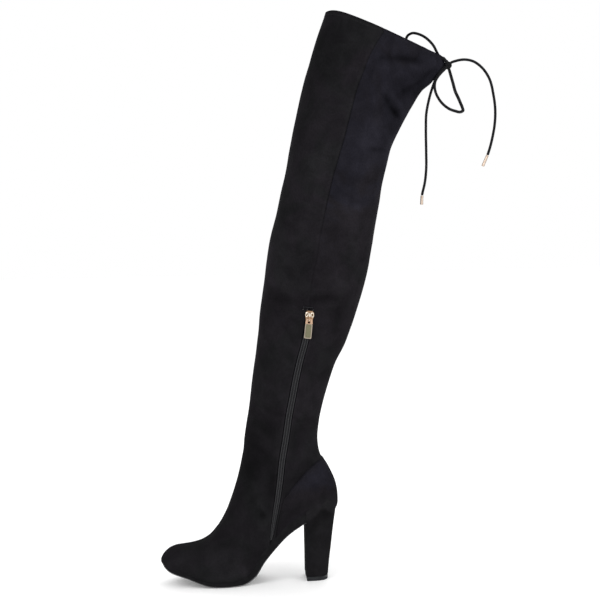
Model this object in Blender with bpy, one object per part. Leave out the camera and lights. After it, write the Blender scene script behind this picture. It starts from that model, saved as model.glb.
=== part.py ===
"""Over-the-knee boot, right foot, high block heel, inside zip, tie at the collar.

Frame: toe towards -Y, inner (medial) side of the foot +X, +Z up, floor at z = 0.
All sizes in this file are millimetres; to_m() turns them into metres.
The upper is one skin, skin(u, a): u runs from the toe (0) to the collar rim (1),
a is the angle round a section, 90 at the front or top, -90 at the back or sole,
0 on the inner side and 180 on the outer side.
"""
import math

import bmesh
import bpy
from mathutils import Matrix, Vector

for ob in list(bpy.data.objects):
    bpy.data.objects.remove(ob, do_unlink=True)

# ---------------------------------------------------------------- sizes, mm
SHIFT = (-1.6, -0.55, 0.0)     # puts the origin under the middle of the box
GAP = 0.3                      # clearance between neighbouring pieces
WALL = 1.8                     # upper with its lining
COUNTER_T = 1.2                # heel counter, standing proud of the upper
OUTSOLE_T = 3.45               # under the ball
WAIST_T = 2.5                  # under the arch
TIP_T = 5.8                    # rubber top piece under the heel
RIM_SIDE = 1.6                 # and a little at the sides
RIM_DIP = 5.2                  # the collar edge drops at the shin
CORD_D = 2.9
HEEL_FRONT = 1.5               # breast of the heel, y
ZIP_HALF = 3.5
ZIP_T = 1.3
TAB_W, TAB_L, TAB_T = 9.6, 27.0, 1.1

# name, front or top point (y, z), back or sole point (y, z), half width,
# half width at the sole, place of the widest point, sharpness of top and
# bottom, sideways shift
SECTIONS = (
    ("toe tip",     -191.4, 34.0, -190.9, 30.2,  7.0,  6.0, 0.50, 2.0, 2.1, 4.0),
    ("toe 1",       -189.3, 38.2, -188.9, 28.5, 13.5, 12.0, 0.52, 2.0, 2.8, 4.0),
    ("toe 2",       -186.0, 42.0, -185.8, 26.5, 19.5, 18.0, 0.54, 2.0, 3.8, 3.8),
    ("toe 3",       -180.8, 46.0, -180.8, 23.9, 25.2, 23.8, 0.55, 2.1, 5.0, 3.6),
    ("toe 4",       -172.5, 49.6, -173.0, 21.0, 30.4, 29.0, 0.56, 2.1, 6.0, 3.2),
    ("toe 5",       -161.0, 51.5, -162.0, 17.5, 35.0, 33.4, 0.57, 2.1, 7.0, 2.6),
    ("vamp 1",      -148.0, 53.5, -149.0, 12.4, 38.5, 36.8, 0.58, 2.1, 8.0, 1.8),
    ("vamp 2",      -136.0, 57.0, -136.5,  7.6, 41.0, 39.2, 0.60, 2.1, 8.5, 1.0),
    ("ball 1",      -126.0, 63.2, -124.5,  4.7, 42.4, 40.6, 0.62, 2.1, 8.5, 0.4),
    ("ball 2",      -118.3, 71.6, -114.0,  3.8, 43.0, 41.0, 0.64, 2.1, 8.0, -0.2),
    ("ball 3",      -110.8, 82.0,  -95.0,  3.8, 42.8, 40.4, 0.66, 2.1, 7.0, -1.2),
    ("ball 4",      -103.6, 94.8,  -83.0,  5.6, 41.4, 37.8, 0.64, 2.1, 6.0, -2.2),
    ("waist 1",      -96.6, 111.5, -70.5, 13.0, 39.8, 33.6, 0.60, 2.1, 5.0, -2.8),
    ("waist 2",      -90.0, 131.0, -57.5, 30.8, 38.4, 31.0, 0.54, 2.1, 4.6, -3.0),
    ("arch 1",       -85.0, 150.0, -42.0, 49.2, 37.6, 29.8, 0.50, 2.1, 4.2, -2.4),
    ("arch 2",       -81.7, 165.5, -22.0, 69.0, 37.2, 28.8, 0.47, 2.1, 4.0, -1.4),
    ("seat 1",       -79.4, 177.5,   -1.0, 81.9, 37.0, 28.4, 0.45, 2.1, 3.8, -0.4),
    ("seat 2",       -78.5, 186.0,   18.0, 85.8, 37.2, 28.4, 0.44, 2.1, 3.4, 0.0),
    ("heel corner",  -77.9, 193.0,   35.5, 89.4, 37.6, 28.6, 0.43, 2.1, 2.6, 0.0),
    ("heel back 1",  -77.0, 199.5,   43.4, 98.8, 38.0, 29.6, 0.42, 2.1, 2.3, 0.0),
    ("heel back 2",  -75.9, 206.5,   44.6, 113.0, 38.4, 31.4, 0.42, 2.1, 2.2, 0.0),
    ("heel back 3",  -74.8, 213.5,   41.9, 131.0, 38.8, 33.6, 0.43, 2.1, 2.2, 0.0),
    ("heel back 4",  -73.4, 221.0,   33.4, 151.0, 39.2, 35.8, 0.44, 2.1, 2.2, 0.0),
    ("ankle 1",      -71.8, 229.0,   23.2, 170.0, 39.6, 37.8, 0.45, 2.1, 2.2, 0.0),
    ("ankle 2",      -70.1, 238.5,   20.2, 190.0, 40.2, 39.4, 0.46, 2.1, 2.2, 0.0),
    ("ankle 3",      -68.3, 252.0,   22.8, 215.5, 41.6, 41.2, 0.47, 2.1, 2.2, 0.0),
    ("calf 1",       -66.0, 270.0,   28.6, 240.5, 44.0, 43.6, 0.48, 2.1, 2.2, 0.0),
    ("calf 2",       -63.0, 290.0,   36.2, 266.0, 46.8, 46.4, 0.49, 2.1, 2.2, 0.0),
    ("calf 3",       -59.4, 312.0,   45.6, 292.5, 49.6, 49.2, 0.49, 2.1, 2.2, 0.0),
    ("calf 4",       -56.5, 334.0,   57.4, 315.0, 52.0, 51.6, 0.49, 2.1, 2.2, 0.0),
    ("calf 5",       -53.4, 362.0,   68.4, 342.5, 54.2, 53.8, 0.48, 2.1, 2.2, 0.0),
    ("calf 6",       -49.0, 391.0,   77.5, 370.0, 55.4, 55.0, 0.48, 2.1, 2.2, 0.0),
    ("knee 1",       -43.8, 427.0,   88.6, 407.5, 56.0, 55.6, 0.48, 2.1, 2.2, 0.0),
    ("knee 2",       -37.8, 460.0,   95.9, 443.5, 56.0, 55.6, 0.48, 2.1, 2.2, 0.0),
    ("knee 3",       -28.8, 493.0,  102.2, 478.0, 55.6, 55.2, 0.48, 2.1, 2.2, 0.0),
    ("thigh 1",      -22.4, 521.0,  106.8, 502.5, 55.6, 55.2, 0.48, 2.1, 2.2, 0.0),
    ("thigh 2",      -15.9, 546.0,  111.2, 527.0, 56.2, 55.6, 0.48, 2.1, 2.15, 0.0),
    ("thigh 3",      -10.4, 575.0,  117.8, 552.5, 57.0, 56.2, 0.47, 2.1, 2.1, 0.0),
    ("thigh 4",       -3.3, 609.0,  124.6, 577.0, 57.8, 56.6, 0.47, 2.1, 2.0, 0.0),
    ("thigh 5",        4.8, 642.5,  137.0, 602.5, 58.0, 56.0, 0.46, 2.1, 1.85, 0.0),
    ("thigh 6",       11.2, 667.0,  151.0, 627.0, 57.0, 54.0, 0.45, 2.1, 1.7, 0.0),
    ("flare 1",       18.4, 690.0,  166.0, 650.0, 55.0, 51.0, 0.43, 2.1, 1.55, 0.0),
    ("flare 2",       25.6, 713.0,  179.6, 661.0, 52.4, 47.0, 0.41, 2.1, 1.42, 0.0),
    ("casing",        34.0, 736.0,  190.4, 676.4, 50.0, 43.0, 0.39, 2.1, 1.34, 0.0),
    ("rim",           42.0, 758.4,  192.6, 694.6, 48.4, 40.0, 0.38, 2.1, 1.30, 0.0),
)

# y, half width, sideways shift of the sole's outline
SOLE_OUTLINE = (
    (-188.0, 7.0, 4.0), (-186.0, 13.5, 4.0), (-182.5, 19.6, 3.8), (-177.0, 25.0, 3.5),
    (-169.0, 29.6, 3.0), (-159.0, 33.0, 2.4), (-147.0, 36.0, 1.6), (-134.0, 38.2, 0.8),
    (-121.0, 39.4, 0.2), (-108.0, 39.6, -0.4), (-96.0, 38.8, -1.2), (-84.0, 36.4, -2.2),
    (-72.0, 32.6, -2.8), (-58.0, 29.4, -3.0), (-42.0, 27.8, -2.4), (-22.0, 26.8, -1.4),
    (1.2, 26.8, -0.4),
)

# height fraction, y of the back, half width, squareness of the outline
HEEL_SHAPE = (
    (0.00, 31.0, 19.2, 3.0), (0.20, 33.0, 19.8, 2.9), (0.40, 35.6, 21.0, 2.8),
    (0.60, 37.8, 22.8, 2.7), (0.80, 40.4, 25.4, 2.6), (1.00, 43.2, 28.6, 2.5),
)

# where the foot lies: height of the footbed above the lasted bottom
FOOTBED = ((-180.0, 9.0), (-165.0, 13.0), (-140.0, 15.0), (-105.0, 15.0), (-84.0, 13.0),
           (-70.0, 7.5), (-55.0, 3.6), (-40.0, 3.0), (45.0, 3.0))

# zip on the inner side, from under the slider to the waist: y, z
ZIP_LINE = ((6.2, 350.2), (3.9, 327.0), (-4.6, 301.5), (-10.6, 275.0), (-15.4, 248.3),
            (-18.6, 234.3), (-24.8, 195.8), (-29.6, 168.5), (-32.9, 141.6), (-36.8, 115.1),
            (-41.6, 87.8), (-46.0, 60.5))
SLIDER_AT = (8.2, 359.6)
SLIDER_LEAN = 6.0

# outline of the heel counter seen from the side: y, z
COUNTER_LINE = ((70.0, 173.5), (24.0, 172.2), (17.5, 165.2), (10.6, 162.4), (2.1, 155.3),
                (-8.3, 144.4), (-18.6, 130.2), (-26.6, 120.4), (-31.2, 108.0), (-36.0, 88.0),
                (-39.5, 67.0), (-40.8, 57.0), (-20.0, 75.4), (-1.0, 86.2), (30.0, 92.4), (70.0, 101.0))

KNOT_AT = (0.0, 201.5, 683.0)
KNOT_R = (5.0, 4.8, 4.8)


# ---------------------------------------------------------------- small maths
def lerp(a, b, t):
    return a + (b - a) * t


def smooth(a, b, x):
    t = min(1.0, max(0.0, (x - a) / (b - a)))
    return t * t * (3.0 - 2.0 * t)


def slopes(xs, ys, limited):
    n = len(xs)
    sec = [(ys[i + 1] - ys[i]) / (xs[i + 1] - xs[i]) for i in range(n - 1)]
    out = [sec[0]]
    for i in range(1, n - 1):
        h0, h1 = xs[i] - xs[i - 1], xs[i + 1] - xs[i]
        m = (sec[i - 1] * h1 + sec[i] * h0) / (h0 + h1)
        if limited and sec[i - 1] * sec[i] <= 0.0:
            m = 0.0
        out.append(m)
    out.append(sec[-1])
    return out


def curve(xs, ys, limited=False):
    ms = slopes(xs, ys, limited)

    def at(x):
        if x <= xs[0]:
            return ys[0] + ms[0] * (x - xs[0])
        if x >= xs[-1]:
            return ys[-1] + ms[-1] * (x - xs[-1])
        k = 0
        while xs[k + 1] < x:
            k += 1
        h = xs[k + 1] - xs[k]
        t = (x - xs[k]) / h
        t2, t3 = t * t, t * t * t
        return ((2 * t3 - 3 * t2 + 1) * ys[k] + (t3 - 2 * t2 + t) * h * ms[k]
                + (-2 * t3 + 3 * t2) * ys[k + 1] + (t3 - t2) * h * ms[k + 1])
    return at


def column(table, key, val, limited=True):
    return curve([row[key] for row in table], [row[val] for row in table], limited)


# ---------------------------------------------------------------- the upper's skin
def section_places():
    us = [0.0]
    for a, b in zip(SECTIONS, SECTIONS[1:]):
        front = math.hypot(b[1] - a[1], b[2] - a[2])
        back = math.hypot(b[3] - a[3], b[4] - a[4])
        us.append(us[-1] + 0.5 * (front + back))
    return [u / us[-1] for u in us]


PLACES = section_places()
NAMED = {row[0]: u for row, u in zip(SECTIONS, PLACES)}
COLS = [curve(PLACES, [row[k] for row in SECTIONS], limited=(k >= 5)) for k in range(1, 11)]


def section(u):
    return [c(u) for c in COLS]


def power(v, e):
    return math.copysign(abs(v) ** e, v)


def skin(u, a):
    fy, fz, by, bz, w, wb, gc, nu, nl, xc = section(u)
    c, s = math.cos(math.radians(a)), math.sin(math.radians(a))
    if s >= 0.0:
        x = w * power(c, 2.0 / nu)
        g = gc * (1.0 - s ** (2.0 / nu))
    else:
        q = (-s) ** (2.0 / nl)
        x = lerp(w, wb, q ** 1.5) * power(c, 2.0 / nl)
        g = lerp(gc, 1.0, q)
    p = Vector((x + xc, lerp(fy, by, g), lerp(fz, bz, g)))
    if u > NAMED["flare 2"]:
        d = ((a + 360.0) % 360.0 - 90.0) / 30.0
        k = smooth(NAMED["flare 2"], 1.0, u) * math.exp(-d * d)
        side = smooth(NAMED["flare 2"], 1.0, u) * c * c
        p += Vector((0.0, -0.32, -0.95)) * (RIM_DIP * k + RIM_SIDE * side)
    return p


def normal(u, a):
    e = 0.0008
    u0, u1 = max(0.0, u - e), min(1.0, u + e)
    du = skin(u1, a) - skin(u0, a)
    da = skin(u, a + 0.4) - skin(u, a - 0.4)
    n = du.cross(da)
    n.normalize()
    return n


def lifted(u, a, h):
    return skin(u, a) + normal(u, a) * h


def on_skin(y, z, side, u_from=0.0, u_to=1.0):
    """The place (u, a) on the inner (+1) or outer (-1) side that shows at (y, z)."""
    best = None
    for i in range(81):
        u = lerp(u_from, u_to, i / 80.0)
        for j in range(-16, 17):
            a = j * 5.0 if side > 0 else 180.0 - j * 5.0
            p = skin(u, a)
            d = (p.y - y) ** 2 + (p.z - z) ** 2
            if best is None or d < best[0]:
                best = (d, u, a)
    du, da = (u_to - u_from) / 80.0, 5.0
    for _ in range(16):
        _, u, a = best
        for i in (-2, -1, 0, 1, 2):
            for j in (-2, -1, 0, 1, 2):
                p = skin(u + i * du * 0.5, a + j * da * 0.5)
                d = (p.y - y) ** 2 + (p.z - z) ** 2
                if d < best[0]:
                    best = (d, u + i * du * 0.5, a + j * da * 0.5)
        du, da = du * 0.6, da * 0.6
    return best[1], best[2]


# ---------------------------------------------------------------- Blender helpers
def material(name, rgb, rough, metal=0.0):
    m = bpy.data.materials.new(name)
    m.use_nodes = True
    b = m.node_tree.nodes["Principled BSDF"]
    b.inputs["Base Color"].default_value = (*rgb, 1.0)
    b.inputs["Roughness"].default_value = rough
    b.inputs["Metallic"].default_value = metal
    return m


SUEDE = material("suede", (0.012, 0.012, 0.014), 0.95)
SUEDE_HEEL = material("suede_heel", (0.013, 0.013, 0.015), 0.95)
RUBBER = material("rubber", (0.03, 0.03, 0.032), 0.7)
BOARD = material("footbed", (0.03, 0.028, 0.027), 0.85)
TAPE = material("zip_tape", (0.02, 0.02, 0.023), 0.6)
GOLD = material("rose_gold", (0.72, 0.50, 0.38), 0.22, 1.0)
CORD = material("cord", (0.006, 0.006, 0.007), 0.7)


def to_m(p):
    return Vector(((p[0] + SHIFT[0]) / 1000.0, (p[1] + SHIFT[1]) / 1000.0, (p[2] + SHIFT[2]) / 1000.0))


def add_object(name, points, faces, mat, guide=False, sharp=35.0):
    me = bpy.data.meshes.new(name)
    me.from_pydata([to_m(p) for p in points], [], faces)
    bm = bmesh.new()
    bm.from_mesh(me)
    bmesh.ops.recalc_face_normals(bm, faces=bm.faces)
    bm.to_mesh(me)
    bm.free()
    me.shade_smooth()
    me.set_sharp_from_angle(angle=math.radians(sharp))
    me.materials.append(mat)
    ob = bpy.data.objects.new(name, me)
    bpy.context.scene.collection.objects.link(ob)
    if guide:
        ob.hide_render = True
        ob.display_type = 'WIRE'
    return ob


def cut(ob, tool, operation):
    m = ob.modifiers.new(operation.lower(), 'BOOLEAN')
    m.operation = operation
    m.object = tool
    m.solver = 'EXACT'
    return m


def loft(rings, cap=True):
    """Closed rings of equal length joined in order, with both ends capped."""
    n = len(rings[0])
    pts = [p for ring in rings for p in ring]
    faces = []
    for i in range(len(rings) - 1):
        for j in range(n):
            k = (j + 1) % n
            faces.append((i * n + j, i * n + k, (i + 1) * n + k, (i + 1) * n + j))
    if cap:
        faces.append(tuple(range(n)))
        faces.append(tuple((len(rings) - 1) * n + j for j in range(n)))
    return pts, faces


# ---------------------------------------------------------------- upper
COLUMNS = 30


def rows_of_upper():
    us = []
    for (a, b), (r0, r1) in zip(zip(PLACES, PLACES[1:]), zip(SECTIONS, SECTIONS[1:])):
        size = max(math.hypot(r1[1] - r0[1], r1[2] - r0[2]), math.hypot(r1[3] - r0[3], r1[4] - r0[4]))
        n = 2 if size > 27.0 else 1
        us += [lerp(a, b, k / n) for k in range(n)]
    return us + [1.0]


def build_upper(columns=COLUMNS, margin_cells=2):
    us = rows_of_upper()
    step = 360.0 / columns
    angles = [-90.0 + step * j for j in range(columns)]
    rows = len(us)
    outer = [[skin(u, a) for a in angles] for u in us]
    inner = [[lifted(u, a, -WALL) for a in angles] for u in us]
    open_from, open_to = NAMED["toe 4"], NAMED["heel corner"] - 0.004

    def is_open(i, j):
        mid = 0.5 * (us[i] + us[i + 1])
        near = j < margin_cells or j >= columns - margin_cells
        return near and open_from < mid < open_to

    pts = [p for row in outer for p in row] + [p for row in inner for p in row]
    half = rows * columns

    def v(layer, i, j):
        return layer * half + i * columns + j % columns

    faces = []
    edges = {}
    for i in range(rows - 1):
        for j in range(columns):
            if is_open(i, j):
                continue
            loop = [(i, j), (i, j + 1), (i + 1, j + 1), (i + 1, j)]
            faces.append([v(0, *q) for q in loop])
            faces.append([v(1, *q) for q in reversed(loop)])
            for q0, q1 in zip(loop, loop[1:] + loop[:1]):
                k0, k1 = (q0[0], q0[1] % columns), (q1[0], q1[1] % columns)
                if (k1, k0) in edges:
                    del edges[(k1, k0)]
                else:
                    edges[(k0, k1)] = True
    for (q0, q1) in edges:
        if q0[0] == 0 and q1[0] == 0:
            continue
        faces.append([v(0, *q1), v(0, *q0), v(1, *q0), v(1, *q1)])
    for layer in (0, 1):
        c = sum((pts[v(layer, 0, j)] for j in range(columns)), Vector()) / columns
        c.y -= 0.35
        pts.append(c)
        for j in range(columns):
            tri = [v(layer, 0, j), v(layer, 0, j + 1), len(pts) - 1]
            faces.append(tri if layer else tri[::-1])
    used = sorted({k for f in faces for k in f})
    index = {k: n for n, k in enumerate(used)}
    return add_object("upper", [pts[k] for k in used], [[index[k] for k in f] for f in faces], SUEDE)


# ---------------------------------------------------------------- heel counter
def counter_form(name, height, first, last):
    us = [u for u in rows_of_upper() if NAMED[first] - 1e-6 <= u <= NAMED[last] + 1e-6]
    rings = [[lifted(u, -90.0 + 360.0 * j / COLUMNS, height) for j in range(COLUMNS)] for u in us]
    pts, faces = loft(rings)
    return add_object(name, pts, faces, SUEDE, guide=True)


def build_counter():
    shell = counter_form("heel_counter", GAP + COUNTER_T, "waist 2", "ankle 3")
    shell.hide_render = False
    shell.display_type = 'TEXTURED'
    core = counter_form("guide_counter_core", GAP, "waist 1", "calf 1")
    side = [[(x, y, z) for y, z in COUNTER_LINE] for x in (-70.0, 70.0)]
    pts, faces = loft(side)
    prism = add_object("guide_counter_side", pts, faces, SUEDE, guide=True)
    cut(shell, prism, 'INTERSECT')
    cut(shell, core, 'DIFFERENCE')
    return shell


# ---------------------------------------------------------------- sole, insole, heel
SOLE_W = column(SOLE_OUTLINE, 0, 1)
SOLE_X = column(SOLE_OUTLINE, 0, 2)


def lasted_line():
    """Points (y, z) of the upper's middle line underneath, toe to breast, with unit normals."""
    pts = [skin(u, -90.0) for u in rows_of_upper() if NAMED["toe 1"] - 1e-6 <= u <= NAMED["seat 2"] + 1e-6]
    line = []
    for a, b in zip(pts, pts[1:]):
        for t in (0.0, 0.5):
            line.append((lerp(a.y, b.y, t), lerp(a.z, b.z, t)))
    line = [p for p in line if p[0] < HEEL_FRONT - 2.0]
    last = pts[-2] if pts[-2].y > line[-1][0] + 1e-3 else pts[-1]
    t = (HEEL_FRONT - GAP - line[-1][0]) / (last.y - line[-1][0])
    line.append((HEEL_FRONT - GAP, lerp(line[-1][1], last.z, t)))
    out = []
    for k, (y, z) in enumerate(line):
        a, b = line[max(0, k - 1)], line[min(len(line) - 1, k + 1)]
        n = math.hypot(b[0] - a[0], b[1] - a[1])
        out.append((y, z, -(b[1] - a[1]) / n, (b[0] - a[0]) / n))
    return out


def build_outsole(across=2):
    rings = []
    stations = lasted_line()
    for k, (y, z, ny, nz) in enumerate(stations):
        w, xc = SOLE_W(y), SOLE_X(y)
        gap = GAP + 0.05
        deep = gap + lerp(OUTSOLE_T, WAIST_T, smooth(-76.0, -56.0, y))
        if k == len(stations) - 1:
            ny, nz = 0.0, 1.0
        if k == 0:
            w -= 1.0
        top = [(xc + w * lerp(-1.0, 1.0, i / across), y - ny * gap, z - nz * gap) for i in range(across + 1)]
        low = [(p[0], y - ny * deep, z - nz * deep) for p in reversed(top)]
        if min(abs(z - p[4]) for p in SECTIONS[9:11]) < 1e-4:
            low = [(p[0], y, 0.0) for p in low]
        rings.append(top + low)
    pts, faces = loft(rings)
    return add_object("outsole", pts, faces, RUBBER)


def seat_z(y):
    """Lasted bottom over the heel seat, where the heel sits."""
    a, b = SECTIONS[16], SECTIONS[18]
    return lerp(a[4], b[4], (y - a[3]) / (b[3] - a[3]))


def heel_outline(yb, w, sq, n=11):
    half = []
    for k in range(n + 1):
        f = math.radians(90.0 * k / n)
        half.append((w * power(math.cos(f), 2.0 / sq), lerp(HEEL_FRONT, yb, power(math.sin(f), 2.0 / sq))))
    return half + [(-x, y) for x, y in reversed(half[:-1])]


def build_heel():
    shape = [column(HEEL_SHAPE, 0, k) for k in (1, 2, 3)]
    rings = []
    for i in range(8):
        f = i / 7.0
        ring = []
        for x, y in heel_outline(*[s(f) for s in shape]):
            ring.append((x, y, lerp(TIP_T + GAP, seat_z(y) - GAP - 0.1, f)))
        rings.append(ring)
    pts, faces = loft(rings)
    heel = add_object("heel", pts, faces, SUEDE_HEEL)
    s = [s(0.0) for s in shape]
    rings = []
    for z, grow in ((0.0, -0.9), (0.8, -0.2), (TIP_T - 0.6, 0.2), (TIP_T, -0.1)):
        rings.append([(x * (1 + grow / s[1]), HEEL_FRONT + 0.2 - grow + (y - HEEL_FRONT) * (1 + (grow * 2 - 0.4) / (s[0] - HEEL_FRONT)), z)
                      for x, y in heel_outline(*s)])
    pts, faces = loft(rings)
    add_object("heel_tip", pts, faces, RUBBER)
    return heel


def build_insole():
    """A board the shape of the footbed, built up under the ball as the platform."""
    bed = column(FOOTBED, 0, 1)
    us = [u for u in rows_of_upper() if NAMED["toe 3"] - 1e-6 <= u < NAMED["heel corner"] - 1e-6]
    us = us + [NAMED["heel corner"] - 0.006]
    rings = []
    for u in us:
        fy, fz, by, bz = section(u)[:4]
        up = Vector((0.0, fy - by, fz - bz)).normalized()
        clear = WALL + (1.3 if u == us[-1] else 0.6)
        foot = lifted(u, -90.0, -clear)
        low, high = -66.0, 20.0
        for _ in range(30):
            mid = 0.5 * (low + high)
            if (lifted(u, mid, -clear) - foot).dot(up) < bed(by):
                low = mid
            else:
                high = mid
        top = max(low, -58.0)
        angles = [-78.0, -66.0] + [lerp(-66.0, top, k / 5.0) for k in range(1, 6)]
        half = [lifted(u, a, -clear) for a in angles]
        other = [lifted(u, -180.0 - a, -clear) for a in angles]
        rings.append([foot] + half + other[::-1])
    pts, faces = loft(rings)
    return add_object("insole", pts, faces, BOARD)


# ---------------------------------------------------------------- zip
def zip_frame(y, z, t_yz):
    u, a = on_skin(y, z, 1.0)
    p, n = skin(u, a), normal(u, a)
    t = Vector((0.0, t_yz[0], t_yz[1]))
    t = (t - n * t.dot(n)).normalized()
    return p, n, t, t.cross(n)


def build_zip():
    ys = curve(range(len(ZIP_LINE)), [p[0] for p in ZIP_LINE])
    zs = curve(range(len(ZIP_LINE)), [p[1] for p in ZIP_LINE])
    rings = []
    steps = 30
    for i in range(steps + 1):
        s = (len(ZIP_LINE) - 1) * i / steps
        y, z = ys(s), zs(s)
        p, n, t, b = zip_frame(y, z, (ys(s - 0.05) - ys(s + 0.05), zs(s - 0.05) - zs(s + 0.05)))
        low = 0.55
        rings.append([p + b * ZIP_HALF + n * low, p + b * ZIP_HALF + n * (low + ZIP_T * 0.5),
                      p + b * (ZIP_HALF - 1.2) + n * (low + ZIP_T), p - b * (ZIP_HALF - 1.2) + n * (low + ZIP_T),
                      p - b * ZIP_HALF + n * (low + ZIP_T * 0.5), p - b * ZIP_HALF + n * low])
    pts, faces = loft(rings)
    return add_object("zip_chain", pts, faces, TAPE)


def local(frame, b, t, n):
    p0, nn, tt, bb = frame
    return p0 + bb * b + tt * t + nn * n


def slider_frame():
    lean = math.radians(SLIDER_LEAN)
    return zip_frame(SLIDER_AT[0], SLIDER_AT[1], (math.sin(lean), math.cos(lean)))


# slider body, across the zip: place along the zip, half width
SLIDER_PLAN = ((-8.0, 4.3), (-5.5, 4.6), (-2.0, 4.9), (1.5, 5.9), (4.2, 6.3), (6.4, 5.5), (7.8, 3.4))
BASE_LOW, BASE_TOP = 0.75, 3.0
BAR_T, BAR_N, BAR_R = -3.2, 3.95, 0.6      # the tab's bar under the bail
BAIL_W, BAIL_T = 1.3, 1.2                  # half width and thickness of the bail


def build_slider():
    fr = slider_frame()
    rings = []
    for t, w in SLIDER_PLAN:
        rings.append([local(fr, w, t, BASE_LOW), local(fr, w, t, BASE_TOP - 0.7), local(fr, w - 0.9, t, BASE_TOP),
                      local(fr, 0.9 - w, t, BASE_TOP), local(fr, -w, t, BASE_TOP - 0.7), local(fr, -w, t, BASE_LOW)])
    pts, faces = loft(rings)
    body = add_object("zip_slider", pts, faces, GOLD)
    top = BAR_N + BAR_R + 0.35
    inner = [(BAR_T - 0.95, BASE_TOP - 1.0), (BAR_T - 0.95, top - 0.5), (BAR_T - 0.45, top), (3.4, top), (4.0, top - 0.6), (4.0, BASE_TOP - 1.0)]
    outer = [(BAR_T - 0.95 - BAIL_T, BASE_TOP - 1.0), (BAR_T - 0.95 - BAIL_T, top + 0.1), (BAR_T - 0.9, top + BAIL_T),
             (4.2, top + BAIL_T), (5.6, top - 0.2), (5.6, BASE_TOP - 1.0)]
    outline = outer + inner[::-1]
    rings = [[local(fr, b, t, n) for t, n in outline] for b in (-BAIL_W, BAIL_W)]
    pts, faces = loft(rings)
    bail = add_object("guide_bail", pts, faces, GOLD, guide=True)
    cut(body, bail, 'UNION')
    return body


def build_pull():
    """Flat tab with a slot, hanging by its end bar under the slider's bail."""
    fr = slider_frame()
    w = TAB_W / 2.0
    h = TAB_T / 2.0
    slot_w, slot_near, slot_far = BAIL_W + 0.45, BAR_R, 4.6
    r0 = -0.6
    outer = [(-w + 1.6, r0), (w - 1.6, r0), (w - 0.5, 0.6), (w - 0.1, 4.0), (w, TAB_L - 0.8), (w - 0.8, TAB_L),
             (-w + 0.8, TAB_L), (-w, TAB_L - 0.8), (-w + 0.1, 4.0), (-w + 0.5, 0.6)]
    hole = [(-slot_w, slot_near), (slot_w, slot_near), (slot_w, slot_far), (-slot_w, slot_far)]
    rings = [[local(fr, b, BAR_T - r, BAR_N + n) for b, r in outer] for n in (-h, h)]
    pts, faces = loft(rings)
    tab = add_object("zip_pull", pts, faces, GOLD)
    rings = [[local(fr, b, BAR_T - r, BAR_N + n) for b, r in hole] for n in (-2.0, 2.0)]
    pts, faces = loft(rings)
    cut(tab, add_object("guide_slot", pts, faces, GOLD, guide=True), 'DIFFERENCE')
    return tab


# ---------------------------------------------------------------- tie at the collar
# each run of the tie: through these points (x, y, z)
TIE_RUNS = {
    "tie_lead_inner": ((2.3, 197.2, 687.2), (3.0, 194.6, 690.6), (3.0, 192.4, 693.0)),
    "tie_lead_outer": ((-3.4, 197.0, 684.6), (-3.6, 194.4, 686.0), (-3.4, 192.0, 687.0)),
    "tie_loop_upper": ((4.6, 200.2, 688.2), (6.2, 195.0, 694.0), (6.0, 188.6, 702.0), (3.0, 181.0, 713.5),
                       (-5.0, 171.0, 722.2), (-15.0, 158.5, 726.4), (-27.0, 147.5, 720.5), (-36.5, 144.0, 709.0),
                       (-36.0, 150.5, 694.0), (-28.0, 165.0, 684.5), (-18.0, 180.0, 681.0), (-9.0, 193.0, 681.5),
                       (-5.2, 198.6, 682.0)),
    "tie_loop_lower": ((1.8, 203.2, 677.2), (2.6, 206.0, 668.0), (4.0, 209.4, 654.0), (6.0, 213.6, 640.5),
                       (8.0, 218.8, 629.0), (8.8, 220.3, 624.2), (9.0, 218.0, 621.2), (9.2, 212.0, 621.8),
                       (9.6, 199.5, 628.2), (9.2, 188.0, 640.5), (8.4, 183.6, 653.0), (8.0, 184.6, 664.0),
                       (7.2, 190.6, 673.6), (4.9, 197.2, 680.0)),
    "tie_end_right": ((-1.0, 206.8, 685.0), (-1.4, 212.5, 688.4), (-2.0, 220.0, 690.6), (-3.0, 231.0, 690.4),
                      (-4.0, 242.0, 684.8), (-5.0, 252.5, 671.4), (-5.6, 258.6, 655.0), (-6.0, 261.8, 638.0),
                      (-6.0, 263.2, 620.0), (-5.8, 262.2, 601.0), (-5.4, 259.6, 584.0), (-5.0, 254.6, 566.4)),
    "tie_end_left": ((-1.0, 198.4, 678.6), (1.2, 191.0, 669.6), (2.6, 184.2, 658.0), (3.2, 178.6, 646.0),
                     (3.4, 174.6, 632.0), (3.6, 172.0, 615.0), (3.8, 171.2, 594.0), (4.0, 171.4, 570.0),
                     (4.0, 170.4, 546.0), (4.0, 167.4, 526.0), (4.0, 165.2, 514.2)),
}
TIE_POINTS = {"tie_lead_inner": 3, "tie_lead_outer": 3, "tie_loop_upper": 20, "tie_loop_lower": 21,
              "tie_end_right": 18, "tie_end_left": 17}
AGLETS = {"aglet_right": ("tie_end_right", 15.0, 2.0), "aglet_left": ("tie_end_left", 12.5, 2.1)}


def run_curve(points):
    s = [0.0]
    for a, b in zip(points, points[1:]):
        s.append(s[-1] + math.dist(a, b))
    cs = [curve(s, [p[k] for p in points]) for k in range(3)]
    return lambda d: Vector((cs[0](d), cs[1](d), cs[2](d))), s[-1]


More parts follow.
